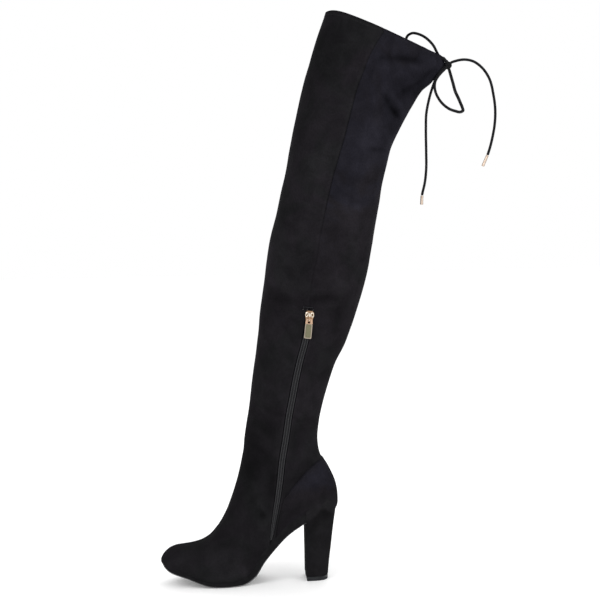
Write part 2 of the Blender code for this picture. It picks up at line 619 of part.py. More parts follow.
def build_tie():
    rings = []
    n = 12
    for i in range(1, 8):
        f = math.pi * i / 8.0
        rings.append([Vector(KNOT_AT) + Vector((KNOT_R[0] * math.cos(f),
                                                KNOT_R[1] * math.sin(f) * math.cos(2 * math.pi * j / n),
                                                KNOT_R[2] * math.sin(f) * math.sin(2 * math.pi * j / n)))
                      for j in range(n)])
    pts, faces = loft(rings)
    add_object("tie_knot", pts, faces, CORD, sharp=60.0)
    for name, points in TIE_RUNS.items():
        at, length = run_curve(points)
        count = TIE_POINTS[name]
        cu = bpy.data.curves.new(name, 'CURVE')
        cu.dimensions = '3D'
        cu.bevel_depth = CORD_D / 2000.0
        cu.bevel_resolution = 2
        cu.use_fill_caps = True
        sp = cu.splines.new('POLY')
        sp.points.add(count - 1)
        for k in range(count):
            sp.points[k].co = (*to_m(at(length * k / (count - 1))), 1.0)
        cu.materials.append(CORD)
        ob = bpy.data.objects.new(name, cu)
        bpy.context.scene.collection.objects.link(ob)
    for name, (run, size, radius) in AGLETS.items():
        points = TIE_RUNS[run]
        end = Vector(points[-1])
        along = (end - Vector(points[-2])).normalized()
        side = along.cross(Vector((1.0, 0.0, 0.0))).normalized()
        other = along.cross(side)
        rings = []
        for d, r in ((GAP + 0.1, 0.82), (GAP + 0.5, 1.0), (size - 0.8, 1.0), (size, 0.8)):
            rings.append([end + along * d + (side * math.cos(2 * math.pi * j / 12) + other * math.sin(2 * math.pi * j / 12)) * radius * r
                          for j in range(12)])
        pts, faces = loft(rings)
        add_object(name, pts, faces, GOLD)


build_upper()
build_counter()
build_outsole()
build_insole()
build_heel()
build_zip()
build_slider()
build_pull()
build_tie()
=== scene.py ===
"""Looks of the over-the-knee boot: right foot, seen from its inner side.

Sizes in this file are millimetres in the boot's own frame (toe towards -Y, inner side +X,
floor at z = 0) and become metres in to_m(). The skin of the upper is the same function
skin(u, a) that shapes the solid: u runs from the toe (0) to the collar rim (1), a is the
angle round a section, 90 at the front or top, -90 at the back or sole, 0 on the inner side.
"""
import math

import bpy
import numpy as np
from mathutils import Matrix, Vector


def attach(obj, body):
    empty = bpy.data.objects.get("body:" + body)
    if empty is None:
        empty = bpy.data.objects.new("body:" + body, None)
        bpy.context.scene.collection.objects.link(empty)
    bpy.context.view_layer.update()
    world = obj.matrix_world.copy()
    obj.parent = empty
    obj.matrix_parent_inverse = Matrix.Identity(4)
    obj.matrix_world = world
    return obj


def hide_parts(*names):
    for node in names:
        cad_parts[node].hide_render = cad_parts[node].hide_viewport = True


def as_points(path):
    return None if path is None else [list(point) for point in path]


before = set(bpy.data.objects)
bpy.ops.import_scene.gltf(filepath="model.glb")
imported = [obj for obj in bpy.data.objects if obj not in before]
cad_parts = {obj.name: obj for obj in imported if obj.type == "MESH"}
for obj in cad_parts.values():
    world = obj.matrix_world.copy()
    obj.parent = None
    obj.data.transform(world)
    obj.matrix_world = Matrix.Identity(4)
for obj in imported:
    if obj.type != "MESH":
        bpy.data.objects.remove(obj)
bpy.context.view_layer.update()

# ------------------------------------------------------------------ sizes, mm
SHIFT = (-1.6, -0.55, 0.0)
GAP = 0.3
WALL = 1.8
COUNTER_T = 1.2
OUTSOLE_T = 3.45
WAIST_T = 2.5
TIP_T = 5.8
RIM_SIDE = 1.6
RIM_DIP = 5.2
CORD_D = 2.9
HEEL_FRONT = 1.5

# name, front or top point (y, z), back or sole point (y, z), half width,
# half width at the sole, place of the widest point, sharpness of top and
# bottom, sideways shift
SECTIONS = (
    ("toe tip",     -191.4, 34.0, -190.9, 30.2,  7.0,  6.0, 0.50, 2.0, 2.1, 4.0),
    ("toe 1",       -189.3, 38.2, -188.9, 28.5, 13.5, 12.0, 0.52, 2.0, 2.8, 4.0),
    ("toe 2",       -186.0, 42.0, -185.8, 26.5, 19.5, 18.0, 0.54, 2.0, 3.8, 3.8),
    ("toe 3",       -180.8, 46.0, -180.8, 23.9, 25.2, 23.8, 0.55, 2.1, 5.0, 3.6),
    ("toe 4",       -172.5, 49.6, -173.0, 21.0, 30.4, 29.0, 0.56, 2.1, 6.0, 3.2),
    ("toe 5",       -161.0, 51.5, -162.0, 17.5, 35.0, 33.4, 0.57, 2.1, 7.0, 2.6),
    ("vamp 1",      -148.0, 53.5, -149.0, 12.4, 38.5, 36.8, 0.58, 2.1, 8.0, 1.8),
    ("vamp 2",      -136.0, 57.0, -136.5,  7.6, 41.0, 39.2, 0.60, 2.1, 8.5, 1.0),
    ("ball 1",      -126.0, 63.2, -124.5,  4.7, 42.4, 40.6, 0.62, 2.1, 8.5, 0.4),
    ("ball 2",      -118.3, 71.6, -114.0,  3.8, 43.0, 41.0, 0.64, 2.1, 8.0, -0.2),
    ("ball 3",      -110.8, 82.0,  -95.0,  3.8, 42.8, 40.4, 0.66, 2.1, 7.0, -1.2),
    ("ball 4",      -103.6, 94.8,  -83.0,  5.6, 41.4, 37.8, 0.64, 2.1, 6.0, -2.2),
    ("waist 1",      -96.6, 111.5, -70.5, 13.0, 39.8, 33.6, 0.60, 2.1, 5.0, -2.8),
    ("waist 2",      -90.0, 131.0, -57.5, 30.8, 38.4, 31.0, 0.54, 2.1, 4.6, -3.0),
    ("arch 1",       -85.0, 150.0, -42.0, 49.2, 37.6, 29.8, 0.50, 2.1, 4.2, -2.4),
    ("arch 2",       -81.7, 165.5, -22.0, 69.0, 37.2, 28.8, 0.47, 2.1, 4.0, -1.4),
    ("seat 1",       -79.4, 177.5,   -1.0, 81.9, 37.0, 28.4, 0.45, 2.1, 3.8, -0.4),
    ("seat 2",       -78.5, 186.0,   18.0, 85.8, 37.2, 28.4, 0.44, 2.1, 3.4, 0.0),
    ("heel corner",  -77.9, 193.0,   35.5, 89.4, 37.6, 28.6, 0.43, 2.1, 2.6, 0.0),
    ("heel back 1",  -77.0, 199.5,   43.4, 98.8, 38.0, 29.6, 0.42, 2.1, 2.3, 0.0),
    ("heel back 2",  -75.9, 206.5,   44.6, 113.0, 38.4, 31.4, 0.42, 2.1, 2.2, 0.0),
    ("heel back 3",  -74.8, 213.5,   41.9, 131.0, 38.8, 33.6, 0.43, 2.1, 2.2, 0.0),
    ("heel back 4",  -73.4, 221.0,   33.4, 151.0, 39.2, 35.8, 0.44, 2.1, 2.2, 0.0),
    ("ankle 1",      -71.8, 229.0,   23.2, 170.0, 39.6, 37.8, 0.45, 2.1, 2.2, 0.0),
    ("ankle 2",      -70.1, 238.5,   20.2, 190.0, 40.2, 39.4, 0.46, 2.1, 2.2, 0.0),
    ("ankle 3",      -68.3, 252.0,   22.8, 215.5, 41.6, 41.2, 0.47, 2.1, 2.2, 0.0),
    ("calf 1",       -66.0, 270.0,   28.6, 240.5, 44.0, 43.6, 0.48, 2.1, 2.2, 0.0),
    ("calf 2",       -63.0, 290.0,   36.2, 266.0, 46.8, 46.4, 0.49, 2.1, 2.2, 0.0),
    ("calf 3",       -59.4, 312.0,   45.6, 292.5, 49.6, 49.2, 0.49, 2.1, 2.2, 0.0),
    ("calf 4",       -56.5, 334.0,   57.4, 315.0, 52.0, 51.6, 0.49, 2.1, 2.2, 0.0),
    ("calf 5",       -53.4, 362.0,   68.4, 342.5, 54.2, 53.8, 0.48, 2.1, 2.2, 0.0),
    ("calf 6",       -49.0, 391.0,   77.5, 370.0, 55.4, 55.0, 0.48, 2.1, 2.2, 0.0),
    ("knee 1",       -43.8, 427.0,   88.6, 407.5, 56.0, 55.6, 0.48, 2.1, 2.2, 0.0),
    ("knee 2",       -37.8, 460.0,   95.9, 443.5, 56.0, 55.6, 0.48, 2.1, 2.2, 0.0),
    ("knee 3",       -28.8, 493.0,  102.2, 478.0, 55.6, 55.2, 0.48, 2.1, 2.2, 0.0),
    ("thigh 1",      -22.4, 521.0,  106.8, 502.5, 55.6, 55.2, 0.48, 2.1, 2.2, 0.0),
    ("thigh 2",      -15.9, 546.0,  111.2, 527.0, 56.2, 55.6, 0.48, 2.1, 2.15, 0.0),
    ("thigh 3",      -10.4, 575.0,  117.8, 552.5, 57.0, 56.2, 0.47, 2.1, 2.1, 0.0),
    ("thigh 4",       -3.3, 609.0,  124.6, 577.0, 57.8, 56.6, 0.47, 2.1, 2.0, 0.0),
    ("thigh 5",        4.8, 642.5,  137.0, 602.5, 58.0, 56.0, 0.46, 2.1, 1.85, 0.0),
    ("thigh 6",       11.2, 667.0,  151.0, 627.0, 57.0, 54.0, 0.45, 2.1, 1.7, 0.0),
    ("flare 1",       18.4, 690.0,  166.0, 650.0, 55.0, 51.0, 0.43, 2.1, 1.55, 0.0),
    ("flare 2",       25.6, 713.0,  179.6, 661.0, 52.4, 47.0, 0.41, 2.1, 1.42, 0.0),
    ("casing",        34.0, 736.0,  190.4, 676.4, 50.0, 43.0, 0.39, 2.1, 1.34, 0.0),
    ("rim",           42.0, 758.4,  192.6, 694.6, 48.4, 40.0, 0.38, 2.1, 1.30, 0.0),
)

# y, half width, sideways shift of the sole's outline
SOLE_OUTLINE = (
    (-188.0, 7.0, 4.0), (-186.0, 13.5, 4.0), (-182.5, 19.6, 3.8), (-177.0, 25.0, 3.5),
    (-169.0, 29.6, 3.0), (-159.0, 33.0, 2.4), (-147.0, 36.0, 1.6), (-134.0, 38.2, 0.8),
    (-121.0, 39.4, 0.2), (-108.0, 39.6, -0.4), (-96.0, 38.8, -1.2), (-84.0, 36.4, -2.2),
    (-72.0, 32.6, -2.8), (-58.0, 29.4, -3.0), (-42.0, 27.8, -2.4), (-22.0, 26.8, -1.4),
    (1.2, 26.8, -0.4),
)

# height fraction, y of the back, half width, squareness of the outline
HEEL_SHAPE = (
    (0.00, 31.0, 19.2, 3.0), (0.20, 33.0, 19.8, 2.9), (0.40, 35.6, 21.0, 2.8),
    (0.60, 37.8, 22.8, 2.7), (0.80, 40.4, 25.4, 2.6), (1.00, 43.2, 28.6, 2.5),
)

# the side seam on the inner side, from the zip's foot up to the collar: y, z.
# From ZIP_FOOT to ZIP_HEAD it is the zip's middle line
SEAM_LINE = (
    (-46.0, 60.5), (-41.6, 87.8), (-36.8, 115.1), (-32.9, 141.6), (-29.6, 168.5),
    (-24.8, 195.8), (-18.6, 234.3), (-15.0, 252.0), (-10.6, 275.0), (-4.6, 301.5), (2.4, 327.0),
    (6.4, 347.0), (8.4, 361.0), (9.5, 376.0), (11.2, 395.4), (14.2, 413.1), (18.0, 429.0),
    (21.9, 449.0), (24.2, 463.0), (27.8, 480.2), (36.4, 517.4), (43.0, 542.9), (49.4, 564.0), (56.4, 586.4),
    (66.0, 621.0), (75.3, 653.5), (84.3, 675.4), (89.8, 689.0), (97.6, 703.5), (107.5, 718.7), (116.0, 731.0),
)
ZIP_FOOT = (-46.0, 60.5)
ZIP_HEAD = (8.6, 365.5)
SLIDER_AT = (8.2, 359.6)
SLIDER_LEAN = 6.0


# ------------------------------------------------------------------ small maths
def slopes(xs, ys, limited):
    sec = np.diff(ys) / np.diff(xs)
    h = np.diff(xs)
    m = np.empty(len(xs))
    m[0], m[-1] = sec[0], sec[-1]
    mid = (sec[:-1] * h[1:] + sec[1:] * h[:-1]) / (h[:-1] + h[1:])
    if limited:
        mid = np.where(sec[:-1] * sec[1:] <= 0.0, 0.0, mid)
    m[1:-1] = mid
    return m


def curve(xs, ys, limited=False):
    xs, ys = np.array(xs, float), np.array(ys, float)
    ms = slopes(xs, ys, limited)

    def at(x):
        x = np.asarray(x, float)
        c = np.clip(x, xs[0], xs[-1])
        k = np.clip(np.searchsorted(xs, c, side="left") - 1, 0, len(xs) - 2)
        h = xs[k + 1] - xs[k]
        t = (c - xs[k]) / h
        t2, t3 = t * t, t * t * t
        v = ((2 * t3 - 3 * t2 + 1) * ys[k] + (t3 - 2 * t2 + t) * h * ms[k]
             + (-2 * t3 + 3 * t2) * ys[k + 1] + (t3 - t2) * h * ms[k + 1])
        return v + np.where(x < xs[0], (x - xs[0]) * ms[0], 0.0) + np.where(x > xs[-1], (x - xs[-1]) * ms[-1], 0.0)
    return at


def column(table, key, val, limited=True):
    return curve([row[key] for row in table], [row[val] for row in table], limited)


def smooth(a, b, x):
    t = np.clip((np.asarray(x, float) - a) / (b - a), 0.0, 1.0)
    return t * t * (3.0 - 2.0 * t)


def bell(x, width):
    return np.exp(-(np.asarray(x, float) / width) ** 2)


def power(v, e):
    return np.copysign(np.abs(v) ** e, v)


def unit(v):
    v = np.asarray(v, float)
    return v / np.maximum(np.linalg.norm(v, axis=-1, keepdims=True), 1e-12)


def lattice(p, seed):
    """Smooth value noise in 0..1 at points p, one cell per unit, the same each time."""
    p = np.asarray(p, float)
    i = np.floor(p).astype(np.int64)
    f = p - i
    f = f * f * (3.0 - 2.0 * f)
    out = np.zeros(p.shape[:-1])
    for dx in (0, 1):
        for dy in (0, 1):
            for dz in (0, 1):
                h = ((i[..., 0] + dx) * 73856093) ^ ((i[..., 1] + dy) * 19349663) ^ ((i[..., 2] + dz) * 83492791) ^ (seed * 2654435761)
                h = (h ^ (h >> 13)) * 1274126177 & 0x7FFFFFFF
                h = (h ^ (h >> 16)) & 0xFFFF
                w = ((f[..., 0] if dx else 1 - f[..., 0]) * (f[..., 1] if dy else 1 - f[..., 1])
                     * (f[..., 2] if dz else 1 - f[..., 2]))
                out += w * h / 65535.0
    return out


def soft_noise(p, size, seed, octaves=2):
    """Noise of zero mean and about unit swing, with features of that size."""
    total, weight = 0.0, 0.0
    for k in range(octaves):
        total = total + (lattice(p / size * 2.0 ** k + 11.3 * k, seed + k) - 0.5) * 2.0 * 0.5 ** k
        weight += 0.5 ** k
    return total / weight


# ------------------------------------------------------------------ the skin
def section_places():
    us = [0.0]
    for a, b in zip(SECTIONS, SECTIONS[1:]):
        us.append(us[-1] + 0.5 * (math.hypot(b[1] - a[1], b[2] - a[2]) + math.hypot(b[3] - a[3], b[4] - a[4])))
    return np.array(us) / us[-1]


PLACES = section_places()
NAMED = {row[0]: float(u) for row, u in zip(SECTIONS, PLACES)}
COLS = [curve(PLACES, [row[k] for row in SECTIONS], limited=(k >= 5)) for k in range(1, 11)]


def skin(u, a):
    u, a = np.broadcast_arrays(np.asarray(u, float), np.asarray(a, float))
    fy, fz, by, bz, w, wb, gc, nu, nl, xc = [c(u) for c in COLS]
    c, s = np.cos(np.radians(a)), np.sin(np.radians(a))
    q = np.maximum(-s, 0.0) ** (2.0 / nl)
    x = np.where(s >= 0.0, w * power(c, 2.0 / nu), (w + (wb - w) * q ** 1.5) * power(c, 2.0 / nl))
    g = np.where(s >= 0.0, gc * (1.0 - np.maximum(s, 0.0) ** (2.0 / nu)), gc + (1.0 - gc) * q)
    p = np.stack([x + xc, fy + (by - fy) * g, fz + (bz - fz) * g], -1)
    low = NAMED["flare 2"]
    d = ((a + 360.0) % 360.0 - 90.0) / 30.0
    lift = smooth(low, 1.0, u) * (RIM_DIP * np.exp(-d * d) + RIM_SIDE * c * c)
    return p + np.array([0.0, -0.32, -0.95]) * lift[..., None]


def normal(u, a):
    u, a = np.broadcast_arrays(np.asarray(u, float), np.asarray(a, float))
    e = 0.0008
    du = skin(np.minimum(u + e, 1.0), a) - skin(np.maximum(u - e, 0.0), a)
    da = skin(u, a + 0.4) - skin(u, a - 0.4)
    return unit(np.cross(du, da))


def along_u(u, a):
    e = 0.001
    return unit(skin(np.minimum(u + e, 1.0), a) - skin(np.maximum(u - e, 0.0), a))


def lifted(u, a, h):
    return skin(u, a) + normal(u, a) * np.asarray(h, float)[..., None]


def on_skin(y, z, side=1, lo=0.0, hi=1.0):
    """The place (u, a) on the inner (+1) or outer (-1) side that shows at (y, z)."""
    U = np.linspace(lo, hi, 241)[:, None]
    A = np.linspace(-80.0, 80.0, 65)[None, :]
    if side < 0:
        A = 180.0 - A
    P = skin(U, A)
    d = (P[..., 1] - y) ** 2 + (P[..., 2] - z) ** 2
    i, j = np.unravel_index(d.argmin(), d.shape)
    u, a = U[i, 0], A[0, j]
    du, da = (hi - lo) / 240.0, 2.5
    step = np.array([-1.0, -0.5, 0.0, 0.5, 1.0])
    for _ in range(18):
        uu, aa = u + du * step[:, None], a + da * step[None, :]
        P = skin(uu, aa)
        d = (P[..., 1] - y) ** 2 + (P[..., 2] - z) ** 2
        i, j = np.unravel_index(d.argmin(), d.shape)
        u, a = uu[i, 0], aa[0, j]
        du, da = du * 0.62, da * 0.62
    return float(u), float(a)




def seam_places():
    """(u, a) along the smooth seam line, from the zip's foot to the collar, closer together round the heel."""
    line = [p for p in SEAM_LINE if p[1] >= ZIP_FOOT[1] - 1e-6]
    s = np.concatenate([[0.0], np.cumsum([math.dist(p, q) for p, q in zip(line, line[1:])])])
    cy, cz = curve(s, [p[0] for p in line]), curve(s, [p[1] for p in line])
    out, lo = [], 0.17
    steps = np.concatenate([np.arange(0.0, 54.0, 3.0), np.arange(54.0, 118.0, 0.8), np.arange(118.0, s[-1] - 1.0, 3.4), [s[-1]]])
    for d in steps:
        u, a = on_skin(float(cy(d)), float(cz(d)), 1, lo, min(1.0, lo + 0.12))
        out.append((u, a))
        lo = max(0.17, u - 0.03)
    return out


SEAM_UA = seam_places()
ZIP_LOW, ZIP_TOP = on_skin(*ZIP_FOOT)[0], on_skin(*ZIP_HEAD)[0]
SEAM_A = curve([0.0, 0.10, 0.178, 0.190] + [u for u, _ in SEAM_UA] + [1.02],
               [-84.0, -84.0, -84.0, -70.0] + [a for _, a in SEAM_UA] + [SEAM_UA[-1][1] - 3.0], limited=True)


# ------------------------------------------------------------------ Blender helpers
def to_m(p):
    return (np.asarray(p, float) + np.array(SHIFT)) / 1000.0


# sheets whose rows run the other way round: their faces are turned, so that they all face outwards
TURNED = {"front_panel", "back_panel", "toe_tip", "lining", "heel_cover_wrap", "heel_top_board",
          "pull_rim", "pull_neck", "pull_panel"}


def mesh_object(name, points, faces, mat, body="boot", sharp=40.0, attributes=None, uv=None):
    me = bpy.data.meshes.new(name)
    pts = to_m(points)
    faces = [tuple(int(k) for k in f) for f in faces]
    if name in TURNED:
        faces = [f[::-1] for f in faces]
    me.from_pydata([tuple(p) for p in pts], [], faces)
    me.update()
    me.shade_smooth()
    if sharp is not None:
        me.set_sharp_from_angle(angle=math.radians(sharp))
    for key, values in (attributes or {}).items():
        at = me.attributes.new(key, "FLOAT", "POINT")
        at.data.foreach_set("value", np.asarray(values, np.float32).ravel())
    me.materials.append(mat)
    ob = bpy.data.objects.new(name, me)
    bpy.context.scene.collection.objects.link(ob)
    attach(ob, body)
    return ob


def grid_faces(rows, cols, wrap=False, flip=False, skip=None):
    i, j = np.meshgrid(np.arange(rows - 1), np.arange(cols if wrap else cols - 1), indexing="ij")
    k = (j + 1) % cols
    f = np.stack([i * cols + j, i * cols + k, (i + 1) * cols + k, (i + 1) * cols + j], -1)
    if skip is not None:
        f = f[~skip]
    f = f.reshape(-1, 4)
    return f[:, ::-1] if flip else f


def join_parts(parts):
    """One list of points and faces from several (points, faces)."""
    pts, faces, n = [], [], 0
    for p, f in parts:
        p = np.asarray(p, float).reshape(-1, 3)
        pts.append(p)
        faces += [tuple(int(k) + n for k in face) for face in f]
        n += len(p)
    return np.concatenate(pts), faces


def tube(path, radius, sides=12, closed=False, caps=True, twist=None):
    """(points, faces) of a round tube along a path; radius may vary along and round it."""
    path = np.asarray(path, float)
    n = len(path)
    if closed:
        t = unit(np.roll(path, -1, 0) - np.roll(path, 1, 0))
    else:
        t = unit(np.gradient(path, axis=0))
    ref = np.array([0.0, 0.0, 1.0]) if abs(t[0][2]) < 0.9 else np.array([1.0, 0.0, 0.0])
    b = unit(np.cross(t[0], ref))
    bs = [b]
    for k in range(1, n):
        b = b - t[k] * np.dot(b, t[k])
        b = b / np.linalg.norm(b)
        bs.append(b)
    bs = np.array(bs)
    ns = np.cross(t, bs)
    phi = np.arange(sides) * 2 * math.pi / sides
    r = np.broadcast_to(np.asarray(radius, float).reshape(-1, 1) if np.ndim(radius) == 1 else np.asarray(radius, float), (n, sides))
    pts = path[:, None, :] + r[..., None] * (np.cos(phi)[None, :, None] * bs[:, None, :] + np.sin(phi)[None, :, None] * ns[:, None, :])
    faces = [tuple(f) for f in grid_faces(n, sides, wrap=True)]
    if closed:
        k = np.arange(sides)
        faces += [((n - 1) * sides + j, (n - 1) * sides + (j + 1) % sides, (j + 1) % sides, j) for j in k]
    pts = pts.reshape(-1, 3)
    if caps and not closed:
        faces.append(tuple(range(sides))[::-1])
        faces.append(tuple((n - 1) * sides + j for j in range(sides)))
    return pts, faces


def spline(points, count=None, step=None):
    """Points at even distances along a smooth curve through the given points."""
    pts = np.asarray(points, float)
    s = np.concatenate([[0.0], np.cumsum(np.linalg.norm(np.diff(pts, axis=0), axis=1))])
    cs = [curve(s, pts[:, k]) for k in range(3)]
    d = np.linspace(0.0, s[-1], 400)
    fine = np.stack([c(d) for c in cs], -1)
    t = np.concatenate([[0.0], np.cumsum(np.linalg.norm(np.diff(fine, axis=0), axis=1))])
    count = count or max(2, int(round(t[-1] / step)) + 1)
    at = np.linspace(0.0, t[-1], count)
    return np.stack([np.interp(at, t, fine[:, k]) for k in range(3)], -1), t[-1]


# ------------------------------------------------------------------ materials
class Shader:
    """A few short calls for building a node tree."""

    def __init__(self, name):
        self.mat = bpy.data.materials.new(name)
        self.mat.use_nodes = True
        self.tree = self.mat.node_tree
        self.tree.nodes.clear()
        self.out = self.tree.nodes.new("ShaderNodeOutputMaterial")
        self.bsdf = self.tree.nodes.new("ShaderNodeBsdfPrincipled")
        self.tree.links.new(self.bsdf.outputs[0], self.out.inputs[0])
        self.coords = self.tree.nodes.new("ShaderNodeTexCoord")

    def put(self, socket, value):
        if isinstance(value, bpy.types.NodeSocket):
            self.tree.links.new(value, socket)
        elif value is not None:
            socket.default_value = value

    def set(self, **values):
        for key, v in values.items():
            self.put(self.bsdf.inputs[key.replace("_", " ")], v)

    def node(self, kind, **settings):
        n = self.tree.nodes.new("ShaderNode" + kind)
        for key, v in settings.items():
            setattr(n, key, v)
        return n

    def place(self, scale=(1.0, 1.0, 1.0), rotation=(0.0, 0.0, 0.0), source="Object"):
        m = self.node("Mapping")
        self.put(m.inputs["Vector"], self.coords.outputs[source])
        m.inputs["Scale"].default_value = scale
        m.inputs["Rotation"].default_value = rotation
        return m.outputs[0]

    def noise(self, scale, detail=2.0, rough=0.5, distortion=0.0, vector=None):
        n = self.node("TexNoise")
        self.put(n.inputs["Vector"], vector or self.coords.outputs["Object"])
        n.inputs["Scale"].default_value = scale
        n.inputs["Detail"].default_value = detail
        n.inputs["Roughness"].default_value = rough
        n.inputs["Distortion"].default_value = distortion
        return n.outputs[0]

    def wave(self, scale, vector=None, direction="X", distortion=0.0, profile="SIN"):
        n = self.node("TexWave", bands_direction=direction, wave_profile=profile)
        self.put(n.inputs["Vector"], vector or self.coords.outputs["Object"])
        n.inputs["Scale"].default_value = scale
        n.inputs["Distortion"].default_value = distortion
        return n.outputs["Fac"]

    def voronoi(self, scale, vector=None, feature="F1"):
        n = self.node("TexVoronoi", feature=feature)
        self.put(n.inputs["Vector"], vector or self.coords.outputs["Object"])
        n.inputs["Scale"].default_value = scale
        return n.outputs["Distance"]

    def attribute(self, name):
        return self.node("Attribute", attribute_name=name).outputs["Fac"]

    def ramp(self, fac, low, high, v0=0.0, v1=1.0):
        n = self.node("MapRange", interpolation_type="SMOOTHSTEP")
        self.put(n.inputs["Value"], fac)
        for key, v in (("From Min", low), ("From Max", high), ("To Min", v0), ("To Max", v1)):
            n.inputs[key].default_value = v
        return n.outputs[0]

    def math(self, op, a, b=0.0, clamp=False):
        n = self.node("Math", operation=op, use_clamp=clamp)
        self.put(n.inputs[0], a)
        self.put(n.inputs[1], b)
        return n.outputs[0]

    def mix(self, fac, a, b, blend="MIX"):
        n = self.node("Mix", data_type="RGBA", blend_type=blend)
        self.put(n.inputs[0], fac)
        self.put(n.inputs[6], a if isinstance(a, bpy.types.NodeSocket) else (*a, 1.0))
        self.put(n.inputs[7], b if isinstance(b, bpy.types.NodeSocket) else (*b, 1.0))
        return n.outputs[2]

    def scaled(self, colour, factor):
        """A colour times a changing factor."""
        n = self.node("VectorMath", operation="SCALE")
        self.put(n.inputs[0], colour if isinstance(colour, bpy.types.NodeSocket) else tuple(colour))
        self.put(n.inputs["Scale"], factor)
        return n.outputs[0]

    def bump(self, height, distance, strength=1.0, under=None):
        n = self.node("Bump")
        n.inputs["Strength"].default_value = strength
        n.inputs["Distance"].default_value = distance
        self.put(n.inputs["Height"], height)
        if under is not None:
            self.put(n.inputs["Normal"], under)
        return n.outputs[0]


def suede(name, tones):
    """Black faux suede: a mottled nap, brushed warmer or cooler, with a fine fibre bump.

    tones are the colours over the shin, beside the seam and behind the leg.
    """
    s = Shader(name)
    big = s.noise(15.0, 3.0, 0.55, 0.9)
    mid = s.noise(46.0, 2.0, 0.5, 0.6)
    fine = s.noise(420.0, 3.0, 0.7)
    hair = s.noise(1500.0, 2.0, 0.7)
    drift = s.ramp(big, 0.35, 0.65, -0.22, 0.22)
    tint = s.math("ADD", s.attribute("panel"), drift, clamp=True)
    base = s.mix(s.ramp(tint, 0.0, 0.5), tones[0], tones[1])
    base = s.mix(s.ramp(tint, 0.5, 1.0), base, tones[2])
    factor = s.math("ADD", s.ramp(mid, 0.30, 0.70, 0.84, 1.12), s.ramp(big, 0.35, 0.65, -0.08, 0.08))
    factor = s.math("MULTIPLY", factor, s.ramp(fine, 0.25, 0.75, 0.86, 1.14))
    # the nap attribute brings the suede's own lighter and darker nap together with painted shade in folds, seams and
    # under raised edges and painted light on ridges and along the leg's front and back
    factor = s.math("MULTIPLY", factor, s.attribute("nap"))
    s.set(Base_Color=s.scaled(base, factor), Roughness=0.98, Sheen_Weight=0.012, Sheen_Roughness=0.28,
          Sheen_Tint=(0.85, 0.85, 0.90, 1.0), Specular_IOR_Level=0.020)
    soft = s.bump(mid, 0.0011, 0.30)
    nap = s.bump(fine, 0.00035, 0.50, soft)
    s.set(Normal=s.bump(hair, 0.00018, 0.6, nap))
    return s.mat


def lining_cloth():
    s = Shader("lining_knit")
    v = s.place((1.0, 1.0, 1.0))
    rib = s.wave(190.0, v, "Z", 0.6)
    cross = s.wave(170.0, s.place((1.0, 1.0, 1.0), (0.0, 0.0, 0.78)), "X", 0.8)
    knit = s.math("MULTIPLY", rib, cross)
    blot = s.noise(30.0, 2.0)
    colour = s.mix(knit, (0.016, 0.016, 0.018), (0.034, 0.034, 0.038))
    s.set(Base_Color=s.scaled(colour, s.ramp(blot, 0.3, 0.7, 0.85, 1.15)), Roughness=0.9, Sheen_Weight=0.2,
          Sheen_Roughness=0.5, Specular_IOR_Level=0.2)
    s.set(Normal=s.bump(knit, 0.0003, 0.6))
    return s.mat


def rubber(name, colour, rough=0.62, edge_tone=None):
    """Moulded rubber; where an edge colour is given, a vertex attribute turns the edge towards that colour."""
    s = Shader(name)
    scuff = s.noise(120.0, 4.0, 0.65, 0.4)
    grain = s.noise(1300.0, 2.0, 0.6)
    tone = s.math("MULTIPLY", s.ramp(scuff, 0.3, 0.72, 0.8, 1.3), s.ramp(grain, 0.3, 0.7, 0.92, 1.08))
    base = colour
    if edge_tone:
        base = s.mix(s.attribute("lighter_edge"), colour, edge_tone)
    s.set(Base_Color=s.scaled(base, tone), Roughness=s.ramp(scuff, 0.3, 0.7, rough - 0.08, rough + 0.12),
          Specular_IOR_Level=0.03)
    s.set(Normal=s.bump(grain, 0.0002, 0.35))
    return s.mat


def metal(name, colour, rough=0.2, streak=0.03):
    s = Shader(name)
    brush = s.noise(260.0, 3.0, 0.6, 0.0, s.place((9.0, 9.0, 1.0)))
    wear = s.noise(55.0, 2.0, 0.5)
    s.set(Base_Color=s.scaled(colour, s.ramp(wear, 0.3, 0.7, 0.92, 1.05)), Metallic=1.0,
          Roughness=s.math("ADD", s.ramp(brush, 0.3, 0.7, rough - streak, rough + streak * 2), 0.0))
    s.set(Normal=s.bump(brush, 0.00005, 0.25))
    return s.mat


def metal_painted_dark_flanks(name, colour, flank_colour, rough):
    s = Shader(name)
    wear = s.noise(160.0, 3.0, 0.6)
    side = s.math("MULTIPLY", s.attribute("flank"), s.ramp(wear, 0.3, 0.7, 0.75, 1.0))
    s.set(Base_Color=s.mix(side, colour, flank_colour), Metallic=1.0, Roughness=s.ramp(wear, 0.3, 0.7, rough - 0.05, rough + 0.10))
    s.set(Normal=s.bump(wear, 0.00005, 0.25))
    return s.mat


def cord_cloth():
    s = Shader("cord_braid")
    spots = s.noise(900.0, 2.0, 0.6)
    tone = s.noise(60.0, 2.0)
    s.set(Base_Color=s.scaled((0.010, 0.010, 0.011), s.math("MULTIPLY", s.ramp(spots, 0.3, 0.7, 0.6, 1.6), s.ramp(tone, 0.3, 0.7, 0.85, 1.15))),
          Roughness=0.75, Specular_IOR_Level=0.04)
    s.set(Normal=s.bump(spots, 0.0002, 0.5))
    return s.mat


def zip_cloth(name, colour, rough, shine=0.15):
    s = Shader(name)
    weave = s.wave(900.0, s.place(), "Z", 0.3)
    spots = s.noise(700.0, 2.0)
    s.set(Base_Color=s.scaled(colour, s.math("MULTIPLY", s.ramp(weave, 0.2, 0.8, 0.75, 1.2), s.ramp(spots, 0.3, 0.7, 0.8, 1.2))),
          Roughness=rough, Specular_IOR_Level=shine)
    s.set(Normal=s.bump(weave, 0.0001, 0.4))
    return s.mat


